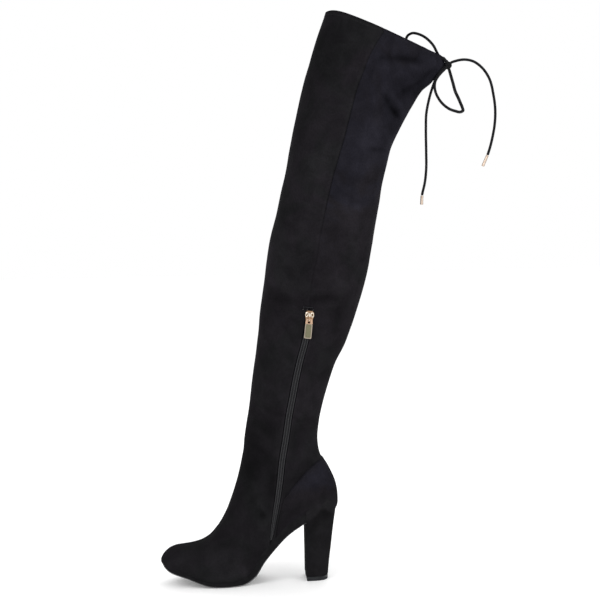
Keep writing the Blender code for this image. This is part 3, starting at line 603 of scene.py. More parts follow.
def thread(name, colour):
    s = Shader(name)
    ply = s.wave(1200.0, s.place((1.0, 1.0, 1.0), (0.6, 0.2, 0.3)), "Z", 0.2)
    s.set(Base_Color=s.scaled(colour, s.ramp(ply, 0.1, 0.9, 0.7, 1.2)), Roughness=0.7, Specular_IOR_Level=0.1)
    s.set(Normal=s.bump(ply, 0.0001, 0.5))
    return s.mat


SUEDE = suede("suede_upper", ((0.0107, 0.0106, 0.0115), (0.0111, 0.0099, 0.0118), (0.0112, 0.0107, 0.0146)))
SUEDE_HEEL = suede("suede_heel", ((0.0098, 0.0098, 0.0103), (0.0099, 0.0094, 0.0104), (0.0099, 0.0097, 0.0115)))
LINING = lining_cloth()
# the sole's last colour is its painted floor light; the tip's is the colour of its lighter back edge
SOLE = rubber("sole_rubber", (0.0085, 0.0083, 0.0091), 0.80, (0.20, 0.20, 0.20))
TIP = rubber("tip_rubber", (0.024, 0.025, 0.027), 0.58, (0.10, 0.10, 0.10))
BED = zip_cloth("footbed_cloth", (0.030, 0.029, 0.029), 0.9)
COIL = zip_cloth("zip_coil", (0.022, 0.022, 0.024), 0.45, 0.2)
RIDGE = zip_cloth("zip_ridge", (0.0265, 0.0265, 0.0292), 0.5, 0.2)
HEADS = zip_cloth("zip_heads", (0.0385, 0.0385, 0.0412), 0.5, 0.2)
TAPE_SHADOWED = zip_cloth("zip_tape", (0.0038, 0.0038, 0.0046), 0.95, 0.03)
GOLD = metal("rose_gold", (0.60, 0.48, 0.37), 0.15)
GOLD_NECK_PAINTED_LIGHT = metal("rose_gold_neck_painted_light", (0.52, 0.345, 0.235), 0.24)
GOLD_RIM = metal("rose_gold_rim", (0.37, 0.315, 0.25), 0.32)
GOLD_DULL_DARK_REFLECTION = metal("rose_gold_dull_dark_reflection", (0.185, 0.175, 0.112), 0.45, 0.05)
AGLET = metal_painted_dark_flanks("cord_end", (0.62, 0.50, 0.41), (0.20, 0.145, 0.105), 0.32)
CORD = cord_cloth()
STITCH = thread("stitch_black", (0.0125, 0.0125, 0.0135))

# ------------------------------------------------------------------ camera first
TARGET = Vector((-0.0016, -0.00055, 0.3766))
PAN, TILT, ROLL, DISTANCE = math.radians(3.7), math.radians(4.9), math.radians(1.0), 2.0


def make_camera():
    d = Vector((math.cos(PAN) * math.cos(TILT), -math.sin(PAN) * math.cos(TILT), math.sin(TILT)))
    f = -d
    r = f.cross(Vector((0.0, 0.0, 1.0))).normalized()
    u = r.cross(f)
    right = r * math.cos(ROLL) - u * math.sin(ROLL)
    up = r * math.sin(ROLL) + u * math.cos(ROLL)
    cam = bpy.data.cameras.new("camera")
    cam.sensor_width = 36.0
    cam.lens = 90.23
    cam.clip_start, cam.clip_end = 0.05, 60.0
    ob = bpy.data.objects.new("camera", cam)
    m = Matrix((right, up, -f)).transposed().to_4x4()
    m.translation = TARGET + d * DISTANCE
    ob.matrix_world = m
    bpy.context.scene.collection.objects.link(ob)
    bpy.context.scene.camera = ob


make_camera()

# ------------------------------------------------------------------ drawstring
# each run of the tie: through these points (x, y, z)
TIE_RUNS = {
    "tie_lead_inner": ((2.6, 199.4, 687.4), (3.5, 197.3, 689.6), (3.9, 195.0, 692.2), (3.0, 192.4, 693.0)),
    "tie_lead_outer": ((-3.4, 197.0, 684.6), (-3.6, 194.4, 686.0), (-3.4, 192.0, 687.0)),
    "tie_loop_upper": ((-1.2, 200.2, 687.4), (-2.6, 197.0, 690.2), (-2.8, 194.4, 693.2), (-2.4, 191.4, 695.0),
                       (-1.2, 189.2, 696.6), (0.6, 187.2, 699.2), (2.4, 185.2, 702.5), (3.4, 182.4, 707.7),
                       (1.2, 174.4, 717.4), (-8.0, 164.2, 725.0), (-18.0, 156.1, 727.2), (-26.5, 151.0, 723.8),
                       (-33.0, 150.3, 716.0), (-36.0, 153.0, 703.0), (-33.5, 158.5, 691.0), (-28.0, 165.5, 684.5),
                       (-18.0, 180.0, 681.0), (-9.0, 193.0, 681.5), (-5.2, 198.6, 682.0),
                       (-2.4, 200.4, 682.6)),
    "tie_loop_lower": ((1.8, 201.8, 679.2), (3.0, 204.7, 668.7), (3.8, 207.0, 659.9), (5.2, 210.0, 648.2),
                       (6.6, 213.7, 639.5), (7.8, 216.4, 632.6), (8.6, 218.6, 626.7), (9.0, 219.3, 623.2),
                       (9.0, 216.2, 621.5), (9.2, 208.6, 622.8), (9.4, 201.8, 625.2), (9.5, 196.0, 629.0),
                       (9.4, 190.1, 634.8), (9.2, 185.4, 642.1), (8.9, 182.6, 649.4), (8.6, 181.9, 656.1),
                       (8.2, 182.9, 661.9), (7.6, 185.9, 667.2), (6.6, 190.9, 673.0), (5.0, 196.1, 677.9),
                       (2.2, 199.8, 681.8)),
    "tie_end_right": ((-1.5, 205.6, 686.6), (-2.0, 212.4, 689.0), (-2.4, 223.2, 690.6), (-3.2, 235.6, 688.2),
                      (-3.9, 246.4, 680.8), (-4.8, 256.6, 666.8), (-5.6, 263.0, 643.0), (-6.0, 265.2, 624.0),
                      (-6.0, 264.2, 604.0), (-5.8, 261.0, 587.0), (-5.2, 256.8, 571.5), (-5.0, 254.3, 564.4)),
    "tie_end_left": ((2.0, 194.9, 679.0), (3.2, 190.2, 674.0), (3.7, 184.6, 665.8), (4.0, 178.6, 651.0),
                     (4.0, 174.2, 635.6), (4.0, 171.2, 620.0), (4.0, 170.4, 600.0), (4.0, 170.5, 570.0),
                     (4.0, 170.2, 546.0), (4.0, 168.0, 528.0), (4.0, 165.0, 515.8), (4.0, 164.3, 512.6)),
}
KNOT_AT = np.array((0.0, 201.5, 683.0))
# how the upper loop's cord turns back inside the knot
UPPER_TURN = ((-1.6, 199.8, 683.0), (0.4, 201.8, 682.6), (1.4, 203.0, 684.2), (0.8, 202.6, 686.0))
BRAID_D = 3.6        # the soft braid stands a little proud of the CAD's tubes
# metal end: its cord, length, radius, and the way it hangs (y, z)
AGLETS = {"aglet_right": ("tie_end_right", 16.0, 2.0, (-0.45, -1.0)), "aglet_left": ("tie_end_left", 12.2, 2.1, (-0.05, -1.0))}


def braided(path_points, plump=None, step=0.55, sides=18):
    """Mesh tube of a round braid along the points: two sets of strands wound both ways.

    plump (distance along, half length, share) makes a stretch of it looser and thicker.
    """
    path, length = spline(path_points, step=step)
    s = np.linspace(0.0, length, len(path))[:, None]
    phi = (np.arange(sides) * 2 * math.pi / sides)[None, :]
    turn = 2 * math.pi * s / 6.4
    strands = np.maximum(np.cos(3 * (phi + turn)), np.cos(3 * (phi - turn)))
    r = BRAID_D / 2.0 * (0.955 + 0.05 * strands)
    end = np.minimum(1.0, 0.72 + np.minimum(s, length - s) / 2.5)
    if plump:
        end = end * (1.0 + plump[2] * bell(s - plump[0], plump[1]))
    pts, faces = tube(path, r * end, sides)
    return pts, faces, path, length


def make_cord(name, points, exit_at, hides, plump=None):
    pts, faces, path, length = braided(points, plump)
    ob = mesh_object(name, pts, faces, CORD, sharp=None)
    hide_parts(*hides)
    tuple(to_m(exit_at))
    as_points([tuple(p) for p in to_m(path[::3])] + [tuple(to_m(path[-1]))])
    return ob


def make_knot():
    t = np.linspace(0.0, 2 * math.pi, 121)[:-1]
    w = 1.10
    path = np.stack([0.85 * np.sin(3 * t) * w * 1.5, (1.95 + 1.0 * np.cos(3 * t)) * np.cos(2 * t) * w,
                     (1.95 + 1.0 * np.cos(3 * t)) * np.sin(2 * t) * w * 1.12], -1)
    s = np.linspace(0.0, 60.0, 120)[:, None]
    phi = (np.arange(18) * 2 * math.pi / 18)[None, :]
    strands = np.maximum(np.cos(3 * phi + s), np.cos(3 * phi - s))
    pts, faces = tube(KNOT_AT + path, BRAID_D / 2.0 * (0.955 + 0.05 * strands), 18, closed=True)
    ob = mesh_object("bow_knot", pts, faces, CORD, sharp=None)
    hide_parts("tie_knot")
    return ob


def make_aglet(name, run, size, radius, way):
    """Metal end: a crimped tube with rolled ends, two rings and a closed tip."""
    b = np.array(TIE_RUNS[run][-1])
    along = unit(np.array((0.0,) + way))
    prof = ((0.05, 0.60), (0.1, 0.88), (0.45, 1.0), (0.9, 1.0), (1.15, 0.90), (2.0, 0.90), (2.25, 0.99), (2.6, 0.99),
            (2.85, 0.90), (4.2, 0.90), (4.6, 0.93), (size - 2.4, 0.93), (size - 1.9, 0.99), (size - 1.2, 0.99),
            (size - 0.5, 0.93), (size - 0.12, 0.74), (size, 0.42))
    path = b + along * (np.array([d for d, _ in prof]) + 0.3)[:, None]
    pts, faces = tube(path, np.array([r for _, r in prof]) * radius, 28)
    # the flanks towards its front and back are painted darker: painted dark reflection along the tube's sides
    flank = np.abs((pts - b) @ np.array((0.0, along[2], -along[1]))) / radius
    ob = mesh_object(name + "_shell", pts, faces, AGLET, sharp=32.0,
                     attributes={"flank": smooth(0.25, 0.85, flank)})
    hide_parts(name)
    return ob


KNOT = make_knot()
TIPS = {name: make_aglet(name, *spec) for name, spec in AGLETS.items()}
CORDS = [
    make_cord("drawstring_loop_lower",
              TIE_RUNS["tie_lead_inner"][::-1] + ((0.6, 200.6, 682.6),) + TIE_RUNS["tie_loop_lower"],
              TIE_RUNS["tie_lead_inner"][-1], ("tie_lead_inner", "tie_loop_lower"),
              plump=(52.0, 44.0, 0.17)),
    make_cord("drawstring_loop_upper",
              TIE_RUNS["tie_lead_outer"][::-1] + UPPER_TURN + TIE_RUNS["tie_loop_upper"],
              TIE_RUNS["tie_lead_outer"][-1], ("tie_lead_outer", "tie_loop_upper")),
    make_cord("drawstring_end_right", ((-0.4, 202.6, 683.8),) + TIE_RUNS["tie_end_right"], (-0.4, 202.6, 683.8),
              ("tie_end_right",)),
    make_cord("drawstring_end_left", ((-0.8, 200.6, 682.6),) + TIE_RUNS["tie_end_left"], (-0.8, 200.6, 682.6),
              ("tie_end_left",)),
]

# ------------------------------------------------------------------ folds, nap and painted shade of the upper
# name, side (1 inner, -1 outer, 0 both), from y, z, to y, z, sag of its middle
# (up +), depth (+ trough, - ridge), half width; all mm
FOLDS = (
    ("collar fold",          1, 112.0, 690.0, 166.0, 686.0,  2.5,  2.3, 4.6),
    ("collar fold ridge",    1, 108.0, 679.0, 168.0, 675.0,  3.0, -1.0, 5.0),
    ("drape fold 1",         1, 109.0, 646.0, 118.0, 631.0,  0.0,  1.6, 3.6),
    ("drape fold 2",         1, 117.0, 630.0, 135.0, 614.0,  0.0,  2.0, 4.4),
    ("drape ridge",          1, 120.0, 646.0, 137.0, 624.0,  0.0, -1.4, 4.0),
    ("drape back",           1, 133.0, 661.0, 139.5, 645.0,  0.0,  1.0, 2.6),
    ("seam fold",            1,  94.0, 685.5, 114.0, 692.5,  0.0,  1.0, 2.4),
    ("seam fold low",        1,  97.5, 676.0,  91.5, 663.0,  0.0,  0.9, 2.0),
    ("seam ridge",           1,  94.0, 680.5, 104.0, 680.0,  0.0, -0.5, 2.4),
    ("edge gather",          1, 103.5, 630.0, 107.5, 614.0,  0.0,  0.6, 2.6),
    ("back gather 1",        1, 152.0, 656.0, 187.0, 683.0, -2.0,  1.3, 3.4),
    ("back gather 2",        1, 132.0, 646.0, 170.0, 662.0,  1.5,  0.9, 3.6),
    ("back gather 3",        1, 168.0, 700.5, 190.0, 689.0,  0.6,  0.9, 2.4),
    ("seam pucker 1",        1,  88.0, 662.0,  98.0, 676.0,  0.0,  0.7, 2.6),
    ("thigh fold",           1,  84.0, 574.5, 116.0, 572.0,  0.8,  0.9, 2.6),
    ("thigh fold ridge",     1,  86.0, 569.0, 114.0, 566.8,  0.8, -0.5, 3.0),
    ("knee fold 1",          1,  30.0, 512.0,  74.0, 505.0,  2.0,  0.6, 5.5),
    ("knee fold 2",          1, -20.0, 478.0,  14.0, 470.0, -1.0,  0.5, 5.0),
    ("knee back fold 1",     1,  66.0, 452.0, 100.0, 463.0,  0.0,  0.6, 4.6),
    ("knee back fold 2",     1,  58.0, 421.0,  92.0, 432.0,  1.0,  0.5, 4.6),
    ("calf fold 1",          1, -15.5, 434.0,   1.5, 442.5,  0.8,  0.8, 2.4),
    ("slider fold back",     1,  12.5, 384.0,  54.0, 380.0,  1.5,  1.3, 4.2),
    ("slider fold back 2",   1,  20.0, 374.5,  58.0, 371.0,  1.0, -0.6, 4.6),
    ("slider fold front",    1, -40.0, 380.5, -10.0, 379.0,  3.0,  0.7, 4.4),
    ("calf fold 2",          1,  28.0, 330.0,  52.0, 322.0,  0.0,  0.5, 5.0),
    ("calf fold 3",          1, -44.0, 318.0, -18.0, 308.0,  0.0,  0.5, 5.0),
    ("ankle fold 1",         1, -12.0, 222.5,  16.0, 220.0,  0.6,  0.9, 3.0),
    ("ankle fold 1 ridge",   1, -12.0, 228.5,  14.0, 226.5,  0.6, -0.5, 3.2),
    ("ankle fold 2",         1,  -4.0, 247.5,  18.0, 245.0,  0.4,  0.6, 2.8),
    ("ankle fold 3",         1, -60.0, 242.0, -28.0, 229.0, -1.0,  0.7, 4.5),
    ("instep fold 1",        1, -80.0, 196.0, -46.0, 171.0,  1.5,  1.0, 5.5),
    ("instep fold 2",        1, -86.0, 158.0, -58.0, 136.0,  1.0,  0.7, 5.5),
    ("instep fold 3",        1, -74.0, 222.0, -48.0, 205.0,  0.0,  0.6, 4.5),
    ("quarter dimple",       1, -60.0,  97.0, -52.0,  93.0,  0.0,  0.9, 3.6),
    ("vamp fold 1",          1, -104.0, 82.0, -84.0,  66.0,  1.0,  0.6, 4.4),
    ("vamp fold 2",          1, -118.0, 62.0, -100.0, 52.0,  0.6,  0.5, 4.0),
    ("collar fold o",       -1, 108.0, 688.0, 168.0, 684.0,  2.0,  1.5, 4.8),
    ("collar fold o ridge", -1, 104.0, 678.0, 166.0, 674.0,  3.0, -0.9, 5.0),
    ("blotch fold o",       -1,  88.0, 622.0, 132.0, 636.0,  1.0,  1.1, 4.8),
    ("gather o 1",          -1, 150.0, 654.0, 187.0, 682.0, -2.0,  1.2, 3.6),
    ("gather o 2",          -1, 128.0, 645.0, 168.0, 664.0,  1.0,  0.9, 3.8),
    ("thigh fold o",        -1,  20.0, 602.0,  70.0, 590.0,  2.0,  0.8, 5.5),
    ("knee fold o 1",       -1,  34.0, 500.0,  92.0, 486.0,  2.0,  0.9, 5.5),
    ("knee fold o 2",       -1,  44.0, 455.0,  94.0, 448.0,  2.0,  0.8, 5.0),
    ("knee fold o 3",       -1, -30.0, 476.0,  10.0, 466.0, -1.0,  0.6, 5.0),
    ("calf fold o",         -1,   8.0, 352.0,  50.0, 338.0,  2.0,  0.7, 5.5),
    ("ankle fold o 1",      -1, -20.0, 224.0,  18.0, 216.0,  1.0,  1.0, 3.6),
    ("ankle fold o 2",      -1, -10.0, 250.0,  20.0, 244.0,  1.0,  0.7, 3.6),
    ("ankle fold o 3",      -1, -66.0, 236.0, -30.0, 220.0,  1.0,  0.8, 4.6),
    ("instep fold o",       -1, -84.0, 190.0, -48.0, 166.0,  1.5,  1.0, 5.5),
    ("vamp fold o",         -1, -106.0, 84.0, -86.0,  66.0,  1.0,  0.7, 4.4),
)

# patches of lighter and darker nap, many of them painted shade beside folds, down the front of shin and ankle and by
# the counter, and painted light on ridges and at the collar's back corner. name, side, y, z, half width along y, half
# height, turn (degrees, + back end up), how much lighter
NAP_AND_SHADE = (
    ("thigh light",      1,  84.0, 572.0, 26.0, 56.0, -12.0, 0.36),
    ("thigh front light", 1, 24.0, 545.0, 14.0, 46.0, -12.0, 0.22),
    ("knee back light",  1,  71.0, 496.0, 18.0, 26.0, -8.0,  0.38),
    ("knee back pale",   1,  70.0, 448.0, 16.0, 30.0, -6.0,  0.22),
    ("knee middle pale", 1,  46.0, 402.0, 16.0, 22.0, -6.0,  0.18),
    ("shin pale",        1, -33.0, 430.0, 14.0, 24.0, -6.0,  0.26),
    ("shin dark 1",      1, -34.0, 362.0, 16.0, 24.0, -6.0, -0.22),
    ("shin dark 2",      1, -38.0, 212.0, 16.0, 26.0, -6.0, -0.24),
    ("shin dark 3",      1, -64.0, 165.0, 16.0, 32.0, -12.0, -0.24),
    ("quarter dark",     1, -30.0, 148.0, 22.0, 26.0, 0.0,  -0.20),
    ("zip side dark",    1,   2.0, 146.0, 14.0, 26.0, -20.0, -0.14),
    ("calf back dark",   1,  44.0, 350.0, 14.0, 22.0, -6.0, -0.16),
    ("collar front dark", 1, 46.0, 712.0, 20.0, 30.0, 0.0,  -0.18),
    ("vamp back light",  1, -92.0, 18.0, 20.0, 13.0, 0.0,    0.46),
    ("thigh pale 1",     1,  21.8, 612.0, 12.0, 14.0, 0.0,   0.16),
    ("thigh dark 1",     1,  50.2, 612.0, 10.0, 12.0, 0.0,  -0.12),
    ("thigh dark 2",     1,  73.5, 609.0, 10.0, 12.0, 0.0,  -0.14),
    ("thigh pale 2",     1,  20.8, 551.0, 12.0, 14.0, 0.0,   0.20),
    ("thigh pale 3",     1,  84.6, 547.0, 16.0, 12.0, 0.0,   0.16),
    ("thigh pale 4",     1, 100.0, 609.0, 14.0, 12.0, 0.0,   0.12),
    ("thigh dark 3",     1,  22.8, 674.0, 10.0, 14.0, 0.0,  -0.12),
    ("knee dark 1",      1,  70.0, 519.0, 14.0, 15.0, 0.0,  -0.26),
    ("knee dark 2",      1,  46.2, 519.0,  9.0, 12.0, 0.0,  -0.10),
    ("knee pale 1",      1, -33.3, 428.0, 11.0, 16.0, 0.0,   0.16),
    ("knee pale 2",      1, -33.8, 396.0, 11.0, 14.0, 0.0,   0.18),
    ("calf dark 1",      1,  44.1, 363.0, 13.0, 14.0, 0.0,  -0.22),
    ("calf dark 2",      1,  46.4, 331.0, 12.0, 12.0, 0.0,  -0.14),
    ("zip foot dark",    1, -41.0, 126.0, 10.0, 34.0, -6.0, -0.34),
    ("gather dark 2",    1, 157.7, 673.0,  9.0,  9.0, 0.0,  -0.18),
    ("drape dark",       1, 127.8, 638.0, 13.0,  9.0, 20.0, -0.22),
    ("edge dark 2",      1, 162.0, 651.0, 12.0,  9.0, 36.0, -0.22),
    ("drape dark 2",     1, 127.5, 621.5, 10.0,  8.0, 20.0, -0.24),
    ("corner pale",      1, 189.0, 689.0,  9.0,  9.0, 0.0,   0.34),
    ("by the counter",   1,  -4.0, 151.0,  6.0, 26.0, -42.0, -0.20),
    ("collar light",     1, 120.0, 700.0, 34.0, 14.0, -20.0, 0.12),
    ("collar dark",      1, 142.0, 691.0, 25.0,  7.0, -3.0, -0.34),
    ("collar pale",      1, 128.0, 670.0, 30.0, 14.0, -5.0,  0.08),
    ("drape dark 1",     1, 114.0, 637.0,  9.0,  6.0, -55.0, -0.27),
    ("drape dark 2",     1, 127.0, 621.0, 11.0,  5.5, -40.0, -0.34),
    ("drape pale",       1, 128.0, 637.0, 11.0,  4.0, -52.0, 0.22),
    ("edge dark",        1, 144.0, 651.0, 14.0,  7.0, 36.0, -0.34),
    ("gather mild",      1, 106.0, 621.6,  3.5,  7.0, 0.0, -0.12),
    ("seam pale",        1, 104.0, 607.0,  9.0, 15.0, 0.0, 0.18),
    ("streak pale",      1,  95.4, 640.0,  2.0,  9.0, 0.0, 0.12),
    ("fold dark",        1, 107.5, 690.0,  4.5,  8.0, 0.0, -0.22),
    ("collar pale 2",    1, 158.0, 676.0, 13.0,  4.5, -5.0, 0.14),
    ("gather dark",      1, 170.0, 671.5, 11.0,  6.0, 38.0, -0.40),
    ("thigh dark",       1, 100.0, 573.0, 13.0,  4.0,  0.0, -0.28),
    ("thigh pale",       1,  98.0, 583.0, 12.0,  4.0,  0.0,  0.12),
    ("back dark",        1, 122.0, 600.0, 12.0, 26.0, 20.0, -0.14),
    ("calf light",       1,  40.0, 440.0, 14.0, 22.0, 10.0,  0.10),
    ("calf light 2",     1,  60.0, 408.0, 16.0, 10.0,  0.0,  0.12),
    ("slider dark",      1,  30.0, 381.0, 24.0,  6.5,  0.0, -0.26),
    ("front slider dark", 1, -30.0, 385.0, 12.0, 9.0, -40.0, -0.16),
    ("shin light",       1, -34.0, 405.0, 12.0, 22.0, 10.0,  0.09),
    ("ankle front dark", 1, -66.0, 180.0, 20.0, 62.0, -12.0, -0.24),
    ("ankle dark",       1,   3.0, 217.0, 17.0,  9.0,  0.0, -0.32),
    ("zip flank dark",   1,  -9.0, 192.0,  8.0, 20.0, -10.0, -0.20),
    ("edge dark 3",      1, 152.0, 648.0, 12.0, 15.0, 20.0, -0.13),
    ("instep light",     1, -62.0, 150.0, 12.0, 16.0,  0.0,  0.06),
    ("vamp light",       1, -82.0,  60.0, 12.0,  4.5, -4.0,  0.22),
    ("vamp pale",        1, -125.0, 38.0, 26.0, 10.0,  0.0,  0.10),
    ("dimple",           1, -56.4,  95.0,  5.0,  5.0,  0.0, -0.25),
    ("toe pale",         1, -165.0, 38.0, 16.0,  8.0,  0.0,  0.08),
    ("ankle front dark o", -1, -64.0, 200.0, 16.0, 40.0, -12.0, -0.22),
    ("knee light o",    -1,  56.0, 540.0, 30.0, 42.0, 20.0,  0.10),
    ("calf light o",    -1,  30.0, 400.0, 22.0, 30.0, 10.0,  0.10),
    ("collar dark o",   -1, 138.0, 689.0, 28.0,  6.0, -3.0, -0.25),
)


def fold_field(P):
    """Height (mm) and nap change at points of the upper, from the folds and patches above; a fold's trough gets painted
    shade, a ridge painted light.
    """
    x, y, z = P[..., 0] - 0.0, P[..., 1], P[..., 2]
    height, nap = np.zeros(y.shape), np.zeros(y.shape)
    turned = np.abs(x)
    for name, side, y0, z0, y1, z1, sag, depth, width in FOLDS:
        length = math.hypot(y1 - y0, z1 - z0)
        ty, tz = (y1 - y0) / length, (z1 - z0) / length
        along = ((y - y0) * ty + (z - z0) * tz) / length
        off = -(y - y0) * tz + (z - z0) * ty
        if ty < 0:
            off = -off
        off = off - sag * 4.0 * np.clip(along, 0, 1) * (1.0 - np.clip(along, 0, 1))
        off = off + 0.25 * width * np.sin(along * 5.0 + y0)
        taper = smooth(-0.12, 0.25, along) * (1.0 - smooth(0.75, 1.12, along))
        w = taper * (1.0 if side == 0 else smooth(2.0, 12.0, side * x))
        w = w * smooth(0.0, 6.0, turned)
        v = -depth * bell(off, width)
        if depth > 0:
            v = v + 0.30 * depth * bell(off + 1.9 * width, width * 0.9)
        height += w * v
        # painted shade along a fold's trough, painted light along a ridge
        nap += w * (-0.11 * depth * bell(off, width * 0.8))
    # each patch makes the nap lighter or darker: the suede's own tone in some, painted shade and painted light in many
    for name, side, yc, zc, ry, rz, turn, k in NAP_AND_SHADE:
        c, s = math.cos(math.radians(turn)), math.sin(math.radians(turn))
        q = (((y - yc) * c + (z - zc) * s) / ry) ** 2 + ((-(y - yc) * s + (z - zc) * c) / rz) ** 2
        nap += k * np.exp(-q) * smooth(0.0, 10.0, side * x)
    return height, nap


def cloth_height(P, u):
    """All soft relief of the suede at points P of rows u, and its nap factor with the painted shade and light of the
    folds and patches.
    """
    height, nap = fold_field(P)
    calm = smooth(0.02, 0.10, u) * 0.75 + 0.25
    height = height + calm * (0.50 * soft_noise(P, 46.0, 3) + 0.16 * soft_noise(P, 17.0, 8))
    y, z = P[..., 1], P[..., 2]
    # fuller over the toe's end and over the front of the ankle
    height = height + 1.15 * (1.0 - smooth(-184.0, -152.0, y)) + 0.9 * bell(z - 110.0, 36.0) * (1.0 - smooth(-86.0, -60.0, y))
    wide = soft_noise(P * np.array([1.0, 1.0, 0.8]), 34.0, 21, 3)
    spots = soft_noise(P, 11.0, 33, 2)
    nap = 1.0 + nap + 0.17 * wide + 0.06 * spots
    return height, nap


def rim_gather(u, a):
    """Small ruffles of the casing where the drawstring pulls the back corner in."""
    d = ((a + 90.0 + 180.0) % 360.0 - 180.0)
    w = bell(d, 34.0) * smooth(NAMED["flare 1"], NAMED["casing"], u)
    return w * (0.75 * np.sin(np.radians(a) * 31.0) + 0.4 * np.sin(np.radians(a) * 52.0 + 1.0))


def drawn_in(P, a):
    """Moves of the collar's back corner, where the drawstring draws it out towards the knot."""
    d = ((a + 90.0 + 180.0) % 360.0 - 180.0)
    w = bell(d, 24.0) * bell(P[..., 2] - 686.0, np.where(P[..., 2] > 686.0, 9.0, 11.5))
    pucker = 1.0 + 0.16 * np.sin(d * 0.55 + 0.6) * bell(d, 40.0)
    return np.stack([-P[..., 0] * 0.22 * w, 5.6 * w * pucker, -1.2 * w], -1)


# ------------------------------------------------------------------ side seams and the zip opening
# mm up from the zip's foot, and from its middle to the folded suede edge
ZIP_OPEN = column(((-20.0, 1.6), (0.0, 1.9), (10.0, 2.9), (30.0, 3.8), (60.0, 4.4), (110.0, 4.8), (300.0, 4.9), (330.0, 4.7)), 0, 1)


def zip_run():
    """How far (mm) rows u lie above the zip's foot."""
    u = np.linspace(ZIP_LOW - 0.03, ZIP_TOP + 0.02, 300)
    p = skin(u, SEAM_A(u))
    d = np.concatenate([[0.0], np.cumsum(np.linalg.norm(np.diff(p, axis=0), axis=1))])
    return u, d - np.interp(ZIP_LOW, u, d)


ZIP_RUN = zip_run()


def seam_frame(u):
    """Sine of the angle between a row and the inner side seam at rows u."""
    e = 0.0006
    t = unit(skin(u + e, SEAM_A(u + e)) - skin(u - e, SEAM_A(u - e)))
    r = unit(skin(u, SEAM_A(u) + 0.3) - skin(u, SEAM_A(u) - 0.3))
    return np.linalg.norm(np.cross(t, r), axis=-1)


def zip_weight(u):
    """1 where the zip's opening is, 0 where the side seam is sewn."""
    return smooth(ZIP_LOW - 0.022, ZIP_LOW - 0.012, u) * (1.0 - smooth(ZIP_TOP, ZIP_TOP + 0.0045, u))


def zip_half(u):
    """Half width of the opening, which closes over the zip's foot."""
    run = np.interp(u, ZIP_RUN[0], ZIP_RUN[1])
    return ZIP_OPEN(run)


EDGE_STEPS = (0.0, 0.3, 0.65, 1.05, 1.5, 2.0, 2.6, 3.3, 4.1, 5.2)
TUCK = ((0.28, -0.55), (0.55, -1.25), (0.55, -1.9))      # further over the edge, and height


def edge_relief(s, zipped):
    """Height by the distance s from a panel's edge: a sewn seam, or a turned edge on the zip."""
    seam = -0.60 * bell(s, 0.75) + 0.24 * bell(s - 2.1, 1.2)
    fold = 1.05 * (1.0 - smooth(1.5, 11.0, s)) - 0.45 * bell(s, 0.5) - 0.20 * bell(s - 3.0, 0.55)
    return seam * (1.0 - zipped) + fold * zipped


